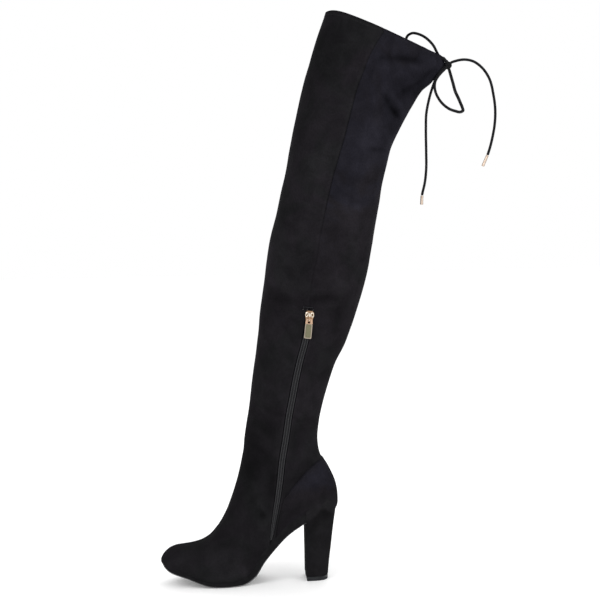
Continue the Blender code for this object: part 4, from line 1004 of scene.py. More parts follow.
def make_panel(name, low_u, rows, middle, back):
    """Half of the upper, from one side seam to the other, with turned edges and a rolled rim.

    back is False for the panel over the toe and shin, True for the one behind the leg.
    """
    u = np.linspace(low_u, 1.0, rows)
    seam = SEAM_A(u)
    a0, a1 = (180.0 - seam, 360.0 + seam) if back else (seam, 180.0 - seam)
    zipped = zip_weight(u)
    sine = seam_frame(u)
    open_edge = zipped * zip_half(u) / np.maximum(sine, 0.35)
    sewn = smooth(ZIP_LOW - 0.05, ZIP_LOW - 0.01, u)
    start, end = (0.0 * u, open_edge) if back else (open_edge, 0.0 * u)
    dense = np.linspace(0.0, 1.0, 401)
    A = a0[:, None] + (a1 - a0)[:, None] * dense[None, :]
    P = skin(u[:, None], A)
    s = np.concatenate([np.zeros((rows, 1)), np.cumsum(np.linalg.norm(np.diff(P, axis=1), axis=2), axis=1)], 1)
    steps = np.array(EDGE_STEPS)
    angle, near0, near1 = [], [], []
    for i in range(rows):
        lo, hi = start[i], s[i, -1] - end[i]
        inner = np.linspace(lo + steps[-1], hi - steps[-1], middle + 2)[1:-1]
        at = np.concatenate([lo + steps, inner, hi - steps[::-1]])
        angle.append(np.interp(at, s[i], A[i]))
        near0.append(at - lo)
        near1.append(hi - at)
    angle, near0, near1 = np.array(angle), np.array(near0), np.array(near1)
    U = np.broadcast_to(u[:, None], angle.shape)
    P = skin(U, angle)
    N = normal(U, angle)
    height, nap = cloth_height(P, U)
    sines = np.maximum(sine, 0.5)[:, None]
    zip_in = zipped[:, None]
    inner_edge, outer_edge = (near1, near0) if back else (near0, near1)
    clear = (0.40 + 0.60 * smooth(0.66, 0.74, U)) * (1.0 - 0.35 * smooth(0.90, 0.94, U))
    side_in = edge_relief(inner_edge * sines, zip_in) * sewn[:, None] * np.maximum(clear, zip_in)
    side_out = edge_relief(outer_edge * sines, 0.0) * sewn[:, None] * clear
    calm_zip = 1.0 - 0.8 * zip_in * (1.0 - smooth(2.0, 14.0, inner_edge))
    height = height * calm_zip + side_in + side_out
    # painted shade in the sewn seams' grooves; on the front panel painted highlight on the ridge beside each seam;
    # painted highlight along the zip's turned edges
    nap = nap * (1.0 - 0.26 * clear * sewn[:, None] * (bell(inner_edge * sines, 0.9) * (1 - zip_in) + bell(outer_edge * sines, 0.9)))
    if not back:
        nap = nap + clear * sewn[:, None] * (0.15 * bell(inner_edge * sines - 2.8, 1.6) + 0.15 * bell(outer_edge * sines - 2.8, 1.6))
    nap = nap + zip_in * 0.25 * bell(inner_edge * sines - 0.7, 0.8)
    # the casing at the collar: one more layer above a stitched line, with ruffles at the back; painted shade along the
    # rolled rim except at the back corner, and a painted highlight on the casing just above the stitched line
    below = (1.0 - U) * TOTAL_U
    height = height + 0.22 * (1.0 - smooth(HEM - 0.6, HEM + 0.6, below)) - 0.18 * bell(below - HEM, 0.8) + rim_gather(U, angle)
    corner = bell(((angle + 90.0 + 180.0) % 360.0 - 180.0), 34.0)
    nap = nap - 0.30 * (1.0 - 0.9 * corner) * bell(below, 1.5) + 0.10 * bell(below - HEM + 0.6, 1.2)
    X = P + N * height[..., None]
    X = X + drawn_in(X, angle)
    cols = angle.shape[1]
    # turned edges on both sides
    da = unit(X[:, 1] - X[:, 0])
    db = unit(X[:, -2] - X[:, -1])
    left = [X[:, :1] - (da * over)[:, None] + (N[:, :1] * deep) for over, deep in TUCK]
    right = [X[:, -1:] - (db * over)[:, None] + (N[:, -1:] * deep) for over, deep in TUCK]
    X = np.concatenate(left[::-1] + [X] + right, 1)
    # the turned-under edges are darker: painted shade
    nap = np.concatenate([nap[:, :1] * 0.6] * len(TUCK) + [nap] + [nap[:, -1:] * 0.6] * len(TUCK), 1)
    NN = np.concatenate([N[:, :1]] * len(TUCK) + [N] + [N[:, -1:]] * len(TUCK), 1)
    # the rim rolls over and runs down inside
    top = X[-1]
    tang = unit(along_u(np.full(cols, 0.999), angle[-1]))
    tang = np.concatenate([tang[:1]] * len(TUCK) + [tang] + [tang[-1:]] * len(TUCK), 0)
    r = 1.15
    extra = []
    for k in range(1, 9):
        f = math.pi * k / 8.0
        extra.append(top + tang * (r * math.sin(f)) - NN[-1] * (r * (1.0 - math.cos(f))))
    for down in (1.5, 3.5, 6.0, 9.0, TURN_IN - 0.4, TURN_IN, TURN_IN + 0.5):
        i = int(round((1.0 - down / TOTAL_U - low_u) / (1.0 - low_u) * (rows - 1)))
        extra.append(X[i] - NN[i] * (2.0 * r - 0.1 - (0.3 if down > TURN_IN else 0.0)))
    extra = np.array(extra)
    X = np.concatenate([X, extra], 0)
    # the rim's roll and turn-in inside are darker: painted shade
    nap = np.concatenate([nap, np.broadcast_to(nap[-1:] * 0.9, extra.shape[:2])], 0)
    # painted shade half way between the seams, along the front and back of the leg, with a narrow band of painted sheen
    # along that middle line; cooler behind the thigh, warmer round the knee
    around = np.abs(np.linspace(-1.0, 1.0, nap.shape[1]))[None, :]
    top_part = smooth(430.0, 590.0, X[..., 2])
    knee_part = bell(X[..., 2] - 400.0, 150.0)
    if back:
        mid_part = smooth(120.0, 170.0, X[..., 2]) * (1.0 - 0.6 * smooth(590.0, 630.0, X[..., 2]))
        nap = nap * (1.0 - 0.05 * bell(around, 0.45)) + mid_part * (0.26 * bell(around, 0.20) + 0.06 * bell(around, 0.42))
        panel_tone = 0.22 + 0.78 * top_part + 0.30 * knee_part * around
    else:
        mid_part = smooth(225.0, 262.0, X[..., 2]) * (1.0 - 0.8 * smooth(560.0, 600.0, X[..., 2]))
        nap = nap * (1.0 - (0.38 - 0.06 * knee_part) * bell(around, 0.60)) + 0.36 * mid_part * bell(around, 0.17)
        panel_tone = 0.14 + 0.34 * knee_part * (0.5 + 0.5 * around) + 0.20 * smooth(560.0, 650.0, X[..., 2]) * around
    faces = grid_faces(X.shape[0], X.shape[1])
    ob = mesh_object(name, X.reshape(-1, 3), faces, SUEDE, sharp=None,
                     attributes={"nap": nap, "panel": panel_tone})
    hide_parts("upper")
    return ob


def section_length():
    return sum(0.5 * (math.hypot(b[1] - a[1], b[2] - a[2]) + math.hypot(b[3] - a[3], b[4] - a[4]))
               for a, b in zip(SECTIONS, SECTIONS[1:]))


TOTAL_U = section_length()
HEM = 4.2            # the stitched line below the collar's edge
TURN_IN = 14.0       # how far the suede is turned in behind it
ROWS = 470
FRONT = make_panel("front_panel", 0.0, ROWS, 140, False)
BACK = make_panel("back_panel", 0.125, ROWS, 140, True)


def make_toe_cap():
    """Closes the very tip, where the first section is small."""
    a = np.linspace(0.0, 360.0, 49)[:-1]
    at = np.full(48, 0.0)
    rim = lifted(at, a, cloth_height(skin(at, a), at)[0] - 0.05)
    mid = rim.mean(0)
    rings = [mid + (rim - mid) * k + np.array([0.0, -0.45 * (1.0 - k * k), 0.0]) for k in (1.0, 0.9, 0.7, 0.45, 0.2)]
    pts = np.concatenate(rings + [mid[None] + np.array([[0.0, -0.45, 0.0]])])
    faces = [tuple(f) for f in grid_faces(5, 48, wrap=True, flip=True)]
    faces += [(4 * 48 + j, len(pts) - 1, 4 * 48 + (j + 1) % 48) for j in range(48)]
    ob = mesh_object("toe_tip", pts, faces, SUEDE, sharp=None,
                     attributes={"nap": np.full(len(pts), 0.9), "panel": np.zeros(len(pts))})
    return ob


make_toe_cap()


def make_lining():
    u = np.concatenate([np.linspace(0.012, 0.985, 190)])
    a = np.linspace(0.0, 360.0, 121)[:-1] - 90.0
    U, A = np.meshgrid(u, a, indexing="ij")
    P = skin(U, A)
    height = -WALL - 0.15 + 0.35 * np.minimum(cloth_height(P, U)[0], 0.0)
    X = P + normal(U, A) * height[..., None]
    X = (X + drawn_in(X, A)).reshape(-1, 3)
    faces = grid_faces(len(u), len(a), wrap=True, flip=True)
    ob = mesh_object("lining", X, faces, LINING, sharp=None)
    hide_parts("upper")
    return ob


make_lining()

# ------------------------------------------------------------------ heel counter
COUNTER_FRONT = ((-40.8, 57.0), (-39.5, 67.0), (-36.0, 88.0), (-31.2, 108.0), (-25.4, 121.3), (-17.6, 130.6),
                 (-9.3, 139.8), (-1.3, 148.9), (4.2, 154.2), (9.7, 158.6), (14.4, 162.2), (19.4, 164.2))
COUNTER_FOOT = ((-40.8, 57.0), (-30.0, 66.0), (-20.0, 75.4), (-10.0, 81.6), (-1.0, 86.2), (12.0, 89.6), (24.0, 92.4), (31.0, 94.8))


def make_counter():
    """Panel round the heel: its edge turned under, a stitch line inside it."""
    def places(line, back_u):
        ua = [on_skin(y, z, 1, NAMED["waist 1"], NAMED["ankle 3"]) for y, z in line]
        ua.append((back_u, -90.0))
        P = skin(np.array([p[0] for p in ua]), np.array([p[1] for p in ua]))
        s = np.concatenate([[0.0], np.cumsum(np.linalg.norm(np.diff(P, axis=0), axis=1))])
        s = s / s[-1]
        return curve(s, [p[0] for p in ua], True), curve(s, [p[1] for p in ua], True)
    us = np.linspace(NAMED["heel back 1"], NAMED["ankle 2"], 200)
    back_u = float(us[np.abs(skin(us, np.full(200, -90.0))[:, 2] - 164.6).argmin()])
    eu, ea = places(COUNTER_FRONT, back_u)
    bu, ba = places(COUNTER_FOOT, NAMED["heel back 1"] - 0.004)
    t = np.linspace(0.0, 1.0, 100)
    t = np.concatenate([t, 2.0 - t[::-1][1:]])
    w = np.concatenate([[0.0, 0.0, 0.0], np.array([0.35, 0.8, 1.4, 2.2, 3.0]) / 100.0, np.linspace(0.042, 1.0, 44)])
    lift = np.array([-0.5, 0.55, 1.15] + [1.5] * (len(w) - 3))
    half = np.where(t <= 1.0, t, 2.0 - t)
    A0, A1 = ea(half), ba(half)
    A0 = np.where(t <= 1.0, A0, -180.0 - A0)
    A1 = np.where(t <= 1.0, A1, -180.0 - A1)
    U = eu(half)[None, :] * (1 - w[:, None]) + bu(half)[None, :] * w[:, None]
    A = A0[None, :] * (1 - w[:, None]) + A1[None, :] * w[:, None]
    P = skin(U, A)
    N = normal(U, A)
    run = np.concatenate([np.zeros((1, len(t))), np.cumsum(np.linalg.norm(np.diff(P, axis=0), axis=2), axis=0)])
    height = lift[:, None] + 0.0 * U
    height = height - 0.30 * bell(run - 2.3, 0.55) + 0.12 * soft_noise(P, 22.0, 5)
    height[3:] += 0.10 * (1.0 - smooth(0.0, 1.2, run[3:])) * -2.0
    X = P + N * height[..., None]
    # painted shade along the turned edge and beside the stitch line
    nap = 1.0 + 0.12 * soft_noise(P, 30.0, 27, 3) - 0.34 * bell(run - 0.6, 0.9) - 0.08 * bell(run - 3.2, 0.7)
    patch = ((P[..., 1] - 20.0) / 16.0) ** 2 + ((P[..., 2] - 152.0) / 15.0) ** 2
    low = 1.0 - smooth(104.0, 140.0, P[..., 2])
    nap = nap + 0.14 * np.exp(-patch) * smooth(0.0, 8.0, P[..., 0]) - 0.10 * low * (1.0 - smooth(0.0, 16.0, P[..., 1]))
    # painted light in a band about 102 mm up, towards the back of the inner side
    nap = nap + 0.26 * bell(P[..., 2] - 102.0, 7.0) * smooth(6.0, 16.0, P[..., 1]) * smooth(0.0, 8.0, P[..., 0])
    ob = mesh_object("heel_counter_panel", X.reshape(-1, 3), grid_faces(len(w), len(t), flip=True), SUEDE,
                     sharp=None, attributes={"nap": nap, "panel": 0.44 + 0.41 * (1.0 - low)})
    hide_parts("heel_counter")
    return run, X, N


COUNTER_GRID = make_counter()


def stitches(name, path, normals, size=2.4, gap=0.9, radius=0.22, body="boot", mat=None, lift=0.0):
    """A row of short raised stitches along a path."""
    path = np.asarray(path, float)
    s = np.concatenate([[0.0], np.cumsum(np.linalg.norm(np.diff(path, axis=0), axis=1))])
    parts = []
    at = gap
    while at + size < s[-1]:
        d = np.linspace(at, at + size, 5)
        p = np.stack([np.interp(d, s, path[:, k]) for k in range(3)], -1)
        n = np.stack([np.interp(d, s, normals[:, k]) for k in range(3)], -1)
        h = np.array([-0.18, 0.06, 0.12, 0.06, -0.18]) + lift
        parts.append(tube(p + unit(n) * h[:, None], np.array([0.55, 1.0, 1.0, 1.0, 0.55]) * radius, 6))
        at += size + gap
    pts, faces = join_parts(parts)
    return mesh_object(name, pts, faces, mat or STITCH, body=body, sharp=None)


run, cx, cn = COUNTER_GRID
line = np.array([[np.interp(2.3, run[2:, j], cx[2:, j, k]) for k in range(3)] for j in range(6, run.shape[1] - 6)])
nrm = cn[4, 6:run.shape[1] - 6]
stitches("counter_stitching", line, nrm, 2.3, 0.8, 0.2, lift=0.05)

hem_u = np.full(400, 1.0 - HEM / TOTAL_U)
hem_a = np.linspace(-90.0, 270.0, 400)
hem_h = cloth_height(skin(hem_u, hem_a), hem_u)[0] + rim_gather(hem_u, hem_a) - 0.02
hem_p = lifted(hem_u, hem_a, hem_h)
stitches("casing_stitching", hem_p + drawn_in(hem_p, hem_a), normal(hem_u, hem_a), 2.6, 0.9, 0.2, lift=0.0)

# ------------------------------------------------------------------ sole
SOLE_W = column(SOLE_OUTLINE, 0, 1)
SOLE_X = column(SOLE_OUTLINE, 0, 2)


def lasted_line(count):
    """Places u and points (y, z) under the upper from the toe to the heel's breast, and the normals there."""
    u = np.linspace(NAMED["toe 1"], NAMED["seat 2"], 900)
    p = skin(u, np.full(900, -90.0))[:, 1:]
    keep = p[:, 0] < HEEL_FRONT - GAP
    u, p = u[keep], p[keep]
    s = np.concatenate([[0.0], np.cumsum(np.linalg.norm(np.diff(p, axis=0), axis=1))])
    d = np.linspace(0.0, s[-1], count)
    p = np.stack([np.interp(d, s, p[:, k]) for k in (0, 1)], -1)
    t = unit(np.gradient(p, axis=0))
    return np.interp(d, s, u), p, np.stack([-t[:, 1], t[:, 0]], -1)


def feather_rise(u, p, n, x):
    """How far above the lasted line the upper's surface is at a place x across, for a row."""
    a = np.linspace(-90.0, -8.0, 90) if x > 0 else np.linspace(-90.0, -172.0, 90)
    q = skin(np.full(90, u), a)
    out = q[:, 0] * (1.0 if x > 0 else -1.0)
    k = int(np.argmax(out))
    up = (q[:, 1] - p[0]) * n[0] + (q[:, 2] - p[1]) * n[1]
    return float(np.interp(min(abs(x), out[k]), np.maximum.accumulate(out[:k + 1]), up[:k + 1]))


def make_outsole():
    """Thin rubber sole: rounded edge with a line along it, ribbed tread under the ball."""
    count = 300
    u, p, n = lasted_line(count)
    y = p[:, 0]
    w, xc = SOLE_W(y), SOLE_X(y)
    toe = np.clip((y - y[0]) / 3.0, 0.0, 1.0)
    w = w * np.sqrt(np.clip(toe * (2.0 - toe), 0.35, 1.0))
    top_gap = -0.3
    thick = OUTSOLE_T + (WAIST_T - OUTSOLE_T) * smooth(-76.0, -56.0, y)
    thick = thick * (0.45 + 0.55 * smooth(0.0, 14.0, y - y[0])) + 1.2 * smooth(-100.0, -76.0, y) * (1.0 - smooth(HEEL_FRONT - 12.0, HEEL_FRONT, y))
    ahead = 1.5 * (1.0 - smooth(-184.0, -152.0, y))
    # across: place as a part of the half width, inset (mm), part of the thickness
    rise = np.array([[feather_rise(u[k], p[k], n[k], xc[k] + f * (w[k] - 0.4)) for f in (1, -1)] for k in range(count)])
    ease = np.ones(21) / 21.0
    rise = np.stack([np.convolve(np.pad(rise[:, j], 10, mode="edge"), ease, mode="valid") for j in (0, 1)], -1)
    edge = ((1.0, -0.05, 0.10), (1.0, 0.0, 0.16), (1.0, 0.05, 0.34), (1.0, -0.28, 0.42),
            (1.0, -0.28, 0.50), (1.0, 0.05, 0.58), (1.0, 0.0, 0.78), (1.0, -0.35, 0.93), (1.0, -1.0, 1.0), (1.0, -2.6, 1.0))
    under = (0.86, 0.80, 0.74, 0.62, 0.48, 0.34, 0.20, 0.07)
    rings, lighter_edge = [], []
    # painted light from the floor along the sole's lower edge: strongest at the toe, weaker where the ball stands on
    # the floor and towards the waist, and fainter over the underside
    floor_light_strip = smooth(-190.0, -182.0, y) * (1.0 - 0.72 * smooth(-78.0, -64.0, y))
    floor_light_strip = floor_light_strip * (1.0 + 0.5 * (1.0 - smooth(-180.0, -170.0, y))) * (1.0 - 0.55 * smooth(-142.0, -132.0, y) * (1.0 - smooth(-108.0, -98.0, y)))
    ball = smooth(-178.0, -170.0, y) * (1.0 - smooth(-88.0, -80.0, y))
    across = np.concatenate([np.array(under), -np.array(under[::-1])])
    for k in range(count):
        deep = thick[k]
        pts = []
        low_edge = [float(smooth(0.62, 0.84, part)) for _, _, part in edge]
        lighter_edge.append(floor_light_strip[k] * np.array([0.0] * 3 + low_edge + [0.35] * len(across) + low_edge[::-1] + [0.0] * 3))
        pts += [(xc[k] + 0.90 * w[k], 0.0), (xc[k] + w[k] - 1.2, -rise[k, 0] - 0.3), (xc[k] + w[k] - 0.3, -rise[k, 0] + 0.25)]
        for f, inset, part in edge:
            pts.append((xc[k] + f * w[k] + inset, part * deep))
        for f in across:
            v = xc[k] + f * (w[k] - 2.6) / 0.9
            bars = 0.5 + 0.5 * math.sin(2 * math.pi * (y[k] + 0.0006 * v * v * 60.0 / 10.0) / 5.0)
            inside = 1.0 if abs(f) < 0.83 else 0.0
            cut = 0.55 * ball[k] * inside * smooth(0.35, 0.65, 1.0 - bars)
            pts.append((v, deep - cut))
        for f, inset, part in edge[::-1]:
            pts.append((xc[k] - f * w[k] - inset, part * deep))
        pts += [(xc[k] - w[k] + 0.3, -rise[k, 1] + 0.25), (xc[k] - w[k] + 1.2, -rise[k, 1] - 0.3), (xc[k] - 0.90 * w[k], 0.0)]
        pts = np.array(pts)
        ring = np.stack([pts[:, 0], y[k] - n[k, 0] * (top_gap + pts[:, 1]), p[k, 1] - n[k, 1] * (top_gap + pts[:, 1])], -1)
        ring[:, 1] -= ahead[k]
        if k == count - 1:
            reach = np.maximum(0.0, HEEL_FRONT + 0.2 - ring[:, 1])      # its end stands against the heel
            ring[:, 1] += reach
            ring[:, 2] += reach * (p[-1, 1] - p[-2, 1]) / (y[-1] - y[-2])
        ring[:, 2] = np.maximum(ring[:, 2], 0.0)
        rings.append(ring)
    rings = np.array(rings)
    cols = rings.shape[1]
    faces = [tuple(f) for f in grid_faces(count, cols, wrap=True)]
    faces.append(tuple(range(cols))[::-1])
    faces.append(tuple((count - 1) * cols + j for j in range(cols)))
    ob = mesh_object("sole_unit", rings.reshape(-1, 3), faces, SOLE, sharp=38.0,
                     attributes={"lighter_edge": np.array(lighter_edge)})
    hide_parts("outsole")


make_outsole()


# ------------------------------------------------------------------ heel
def seat_z(y):
    a, b = SECTIONS[16], SECTIONS[18]
    return a[4] + (b[4] - a[4]) * (y - a[3]) / (b[3] - a[3])


def heel_ring(yb, w, sq, n, front=HEEL_FRONT):
    f = np.radians(np.linspace(0.0, 180.0, n))
    x = w * power(np.cos(f), 2.0 / sq)
    y = front + (yb - front) * np.sin(f) ** (2.0 / sq)
    return x, y


def under_upper(x, y):
    """Height of the upper's underside above places (x, y) of the heel's top."""
    u = np.linspace(NAMED["waist 2"], NAMED["heel back 2"], 160)[:, None]
    a = np.linspace(-176.0, -4.0, 173)[None, :]
    P = skin(u, a + 0.0 * u)
    low = P[..., 2] < (P[:, :1, 2] + P[:, -1:, 2]) / 2.0
    P = P[low]
    d = (P[None, :, 0] - np.asarray(x)[:, None]) ** 2 + (P[None, :, 1] - np.asarray(y)[:, None]) ** 2
    z = np.empty(len(d))
    for k in range(len(d)):
        near = np.argsort(d[k])[:40]
        z[k] = P[near, 2][d[k][near] < d[k][near[0]] + 2.5].min()
    return z


def make_heel():
    """Covered heel: the cover wraps round from the breast, where its turned edges meet the breast piece."""
    shape = [column(HEEL_SHAPE, 0, k) for k in (1, 2, 3)]
    rows, n = 70, 96
    f = np.concatenate([[0.0, 0.004, 0.012], np.linspace(0.02, 0.985, rows), [1.0]])
    roll = np.concatenate([[-0.8, -0.25, -0.04], np.zeros(rows), [-0.1]])
    yb, w, sq = [float(v(1.0)) for v in shape]
    top = under_upper(*heel_ring(yb, w, sq, n))
    for _ in range(3):
        top[1:-1] = (top[:-2] + 2.0 * top[1:-1] + top[2:]) / 4.0
    top = top + 0.35
    grid, nap = [], []
    for k, (part, inset) in enumerate(zip(f, roll)):
        yb, w, sq = [float(v(part)) for v in shape]
        x, y = heel_ring(yb, w, sq, n)
        z = TIP_T + GAP + (top - TIP_T - GAP) * part
        c = np.stack([x, y - HEEL_FRONT - 12.0], -1)
        out = unit(c)
        x, y = x + out[:, 0] * inset, y + out[:, 1] * inset
        ring = np.stack([x, y, z], -1)
        bump = 0.14 * soft_noise(ring, 15.0, 41)
        ring[:, :2] += out * bump[:, None]
        ring[:, 1] = np.maximum(ring[:, 1], HEEL_FRONT)
        grid.append(ring)
        # painted shade in a band below the counter that reaches further down at the breast, with a second darker band
        # about 26 mm down towards the back; painted light over the top 12 to 18 mm, and painted shade right at the
        # cover's top edge
        lower = (top - z) / (50.0 - 0.75 * (y - HEEL_FRONT))
        shade = 3.0 * smooth(13.0, 19.0, top - z) * (1.0 - smooth(0.62, 1.15, lower)) - 2.2 * (1.0 - smooth(12.0, 18.0, top - z))
        shade = shade + 1.9 * bell(top - z - 26.0, 10.0) * smooth(16.0, 28.0, y)
        nap.append(1.0 + 0.10 * soft_noise(ring, 14.0, 47, 3) - 0.10 * shade - 0.20 * bell(top - z, 1.2))
    grid, nap = np.array(grid), np.array(nap)
    # turned edges on the breast
    lip = []
    for sgn, col in ((1, 0), (-1, -1)):
        edge = grid[:, col]
        lip.append([edge + np.array([-sgn * a, b, 0.0]) for a, b in ((0.35, -0.30), (1.2, -0.42), (2.6, -0.40), (3.3, -0.28), (3.5, 0.25))])
    parts = np.concatenate([np.array(lip[0])[::-1].transpose(1, 0, 2), grid, np.array(lip[1]).transpose(1, 0, 2)], 1)
    lips = len(lip[0])
    nap = np.concatenate([np.repeat(nap[:, :1], lips, 1), nap, np.repeat(nap[:, -1:], lips, 1)], 1)
    ob = mesh_object("heel_cover_wrap", parts.reshape(-1, 3), grid_faces(*parts.shape[:2], flip=True), SUEDE_HEEL,
                     sharp=None, attributes={"nap": nap, "panel": np.full(nap.shape, 0.5)})
    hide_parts("heel")
    # breast piece between the turned edges, slightly hollow
    bx = np.linspace(-1.0, 1.0, 25)
    breast = []
    for k in range(len(f)):
        w = grid[k, 0, 0] - 3.0
        yy = np.full(25, HEEL_FRONT) + 0.10 + 0.35 * (1 - bx * bx)
        if k == 0:
            roof = under_upper(bx * (grid[-1, 0, 0] - 3.0), yy) + 0.35
        breast.append(np.stack([bx * w, yy, TIP_T + GAP + (roof - TIP_T - GAP) * f[k]], -1))
    breast = np.array(breast)
    plain = {"nap": np.full(breast.shape[:2], 0.85), "panel": np.full(breast.shape[:2], 0.4)}
    mesh_object("heel_breast", breast.reshape(-1, 3), grid_faces(*breast.shape[:2], flip=False), SUEDE_HEEL,
                sharp=None, attributes=plain)
    # closers at the top (hidden under the upper) and the bottom
    for name, row in (("heel_top_board", -1), ("heel_bottom_board", 0)):
        ring = grid[row].copy()
        mid = ring.mean(0)
        mid[2] = ring[:, 2].min() - (1.5 if row else 0.0)
        rings = [ring]
        for k, drop in ((0.90, 0.6), (0.80, 6.0), (0.6, 12.0), (0.35, 14.0)):
            step = mid + (ring - mid) * k
            if row:
                step[:, 2] = np.maximum(np.minimum(ring[:, 2] - drop, seat_z(step[:, 1]) + 12.0 - drop), ring[:, 2].min() - 6.0)
            rings.append(step)
        mid[2] = rings[-1][:, 2].mean()
        pts = np.concatenate(rings + [mid[None]])
        m = len(rings)
        fs = [tuple(q) for q in grid_faces(m, n, wrap=True, flip=(row == 0))]
        last = [((m - 1) * n + j, (m - 1) * n + (j + 1) % n, m * n) for j in range(n)]
        fs += last if row != 0 else [t[::-1] for t in last]
        mesh_object(name, pts, fs, SUEDE_HEEL, sharp=None,
                    attributes={"nap": np.full(len(pts), 0.8), "panel": np.full(len(pts), 0.4)})


make_heel()


def make_tip():
    """Rubber top piece with a moulded edge line."""
    s = [column(HEEL_SHAPE, 0, k)(0.0) for k in (1, 2, 3)]
    yb, w, sq = [float(v) for v in s]
    n = 72
    # z, grow
    prof = ((0.0, -1.5), (0.15, -0.75), (0.55, -0.3), (1.1, -0.15), (2.5, 0.0), (2.7, -0.18), (3.1, -0.18), (3.3, 0.02),
            (TIP_T - 0.7, 0.12), (TIP_T - 0.25, 0.0), (TIP_T, -0.45), (TIP_T, -2.0))
    rings = []
    for z, grow in prof:
        x, y = heel_ring(yb, w, sq, n)
        x = x * (1 + grow / w)
        y = HEEL_FRONT + 0.2 - grow + (y - HEEL_FRONT) * (1 + (grow * 2 - 0.4) / (yb - HEEL_FRONT))
        rings.append(np.stack([x, y, np.full(n, z)], -1))
    rings = np.array(rings)
    faces = [tuple(f) for f in grid_faces(len(prof), n, wrap=True, flip=False)]
    faces.append(tuple(range(n))[::-1])
    faces.append(tuple((len(prof) - 1) * n + j for j in range(n)))
    # the tip turns lighter along the top of its back edge
    edge_tone = smooth(yb - 7.0, yb, rings[..., 1]) * smooth(TIP_T - 2.6, TIP_T - 0.8, rings[..., 2])
    ob = mesh_object("heel_top_piece", rings.reshape(-1, 3), faces, TIP, sharp=35.0,
                     attributes={"lighter_edge": edge_tone})
    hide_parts("heel_tip")


make_tip()


# ------------------------------------------------------------------ zip
def zip_path():
    """Middle line of the zip: distances along it, points and normals."""
    u = np.linspace(ZIP_LOW, ZIP_TOP - 0.004, 1200)
    a = SEAM_A(u)
    p = skin(u, a)
    s = np.concatenate([[0.0], np.cumsum(np.linalg.norm(np.diff(p, axis=0), axis=1))])
    n = normal(u, a)
    return s, p, n


ZS, ZP, ZN = zip_path()
ZLEN = float(ZS[-1])


def zip_at(d):
    d = np.asarray(d, float)
    p = np.stack([np.interp(d, ZS, ZP[:, k]) for k in range(3)], -1)
    q = np.stack([np.interp(np.minimum(d + 1.0, ZLEN), ZS, ZP[:, k]) for k in range(3)], -1)
    r = np.stack([np.interp(np.maximum(d - 1.0, 0.0), ZS, ZP[:, k]) for k in range(3)], -1)
    n = unit(np.stack([np.interp(d, ZS, ZN[:, k]) for k in range(3)], -1))
    t = unit(q - r)
    n = unit(n - t * (n * t).sum(-1, keepdims=True))
    return p, n, t, np.cross(t, n)


def zip_point(d, b, h):
    p, n, t, side = zip_at(d)
    return p + side * np.asarray(b, float)[..., None] + n * np.asarray(h, float)[..., None]


def zip_share(d):
    """How much of the zip's full width shows at a place: the edges close over its foot."""
    return ZIP_OPEN(np.asarray(d, float)) / 4.9


def make_tapes():
    """The black tapes under the suede's turned edges, coloured darker still as painted shadow in the gaps, and the two
    raised sewn lines beside the coil.
    """
    d = np.linspace(0.0, ZLEN, 520)
    b = np.array([-6.6, -5.2, -4.6, -4.1, -3.8, -3.4, -2.3, -1.2, 0.0, 1.2, 2.3, 3.4, 3.8, 4.1, 4.6, 5.2, 6.6])
    h = np.array([-0.7, -0.3, -0.25, -0.1, 0.25, 0.40, 0.36, 0.32, 0.30, 0.32, 0.36, 0.40, 0.25, -0.1, -0.25, -0.3, -0.7])
    D, B = np.meshgrid(d, b, indexing="ij")
    B = B * zip_share(D)
    H = np.broadcast_to(h, D.shape)
    ob = mesh_object("zip_tapes", zip_point(D, B, H).reshape(-1, 3), grid_faces(len(d), len(b), flip=False), TAPE_SHADOWED,
                     sharp=None)
    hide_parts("zip_chain")
    parts = []
    for sgn in (-1, 1):
        dd = np.linspace(0.5, ZLEN - 0.5, 620)
        r = 0.62 * zip_share(dd) * (1.0 + 0.16 * np.sin(dd * 2 * math.pi / 1.5))
        parts.append(tube(zip_point(dd, sgn * 3.05 * zip_share(dd), 0.62 + 0.0 * dd), r, 8))
    pts, faces = join_parts(parts)
    ob = mesh_object("zip_sewn_lines", pts, faces, RIDGE, sharp=None)
    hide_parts("zip_chain")


def make_coil():
    """Two rows of coil loops that mesh in the middle, as a fine herringbone."""
    parts, heads = [], []
    pitch = 1.5
    n = int(ZLEN / pitch)
    for k in range(n):
        for sgn in (-1, 1):
            d0 = (k + (0.5 if sgn > 0 else 0.0)) * pitch + 0.4
            if d0 > ZLEN - 1.0:
                continue
            b = np.array([-0.55, -0.15, 0.6, 1.45, 2.15, 2.55, 2.65]) * sgn * float(zip_share(d0))
            d = d0 + np.array([0.10, 0.0, -0.25, -0.62, -0.95, -1.10, -0.9])
            h = np.array([0.80, 1.10, 1.16, 1.12, 1.0, 0.75, 0.40])
            p = zip_point(np.clip(d, 0, ZLEN), b, h)
            parts.append(tube(p, np.array([0.34, 0.40, 0.36, 0.34, 0.33, 0.32, 0.3]), 6, caps=True))
            heads.append(tube(zip_point(np.clip(d0 + np.array([-0.3, 0.0, 0.3]), 0, ZLEN), b[:3] * 0.6, np.array([1.1, 1.3, 1.1])),
                              np.array([0.30, 0.42, 0.30]), 6, caps=True))
    for name, items, mat in (("zip_coil_loops", parts, COIL), ("zip_coil_heads", heads, HEADS)):
        pts, faces = join_parts(items)
        ob = mesh_object(name, pts, faces, mat, sharp=None)
        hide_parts("zip_chain")


make_tapes()
make_coil()


def slider_frame():
    lean = math.radians(SLIDER_LEAN)
    u, a = on_skin(*SLIDER_AT)
    p, n = skin(u, a), normal(u, a)
    t = np.array([0.0, math.sin(lean), math.cos(lean)])
    t = unit(t - n * t.dot(n))
    return p, n, t, np.cross(t, n)


SL = slider_frame()


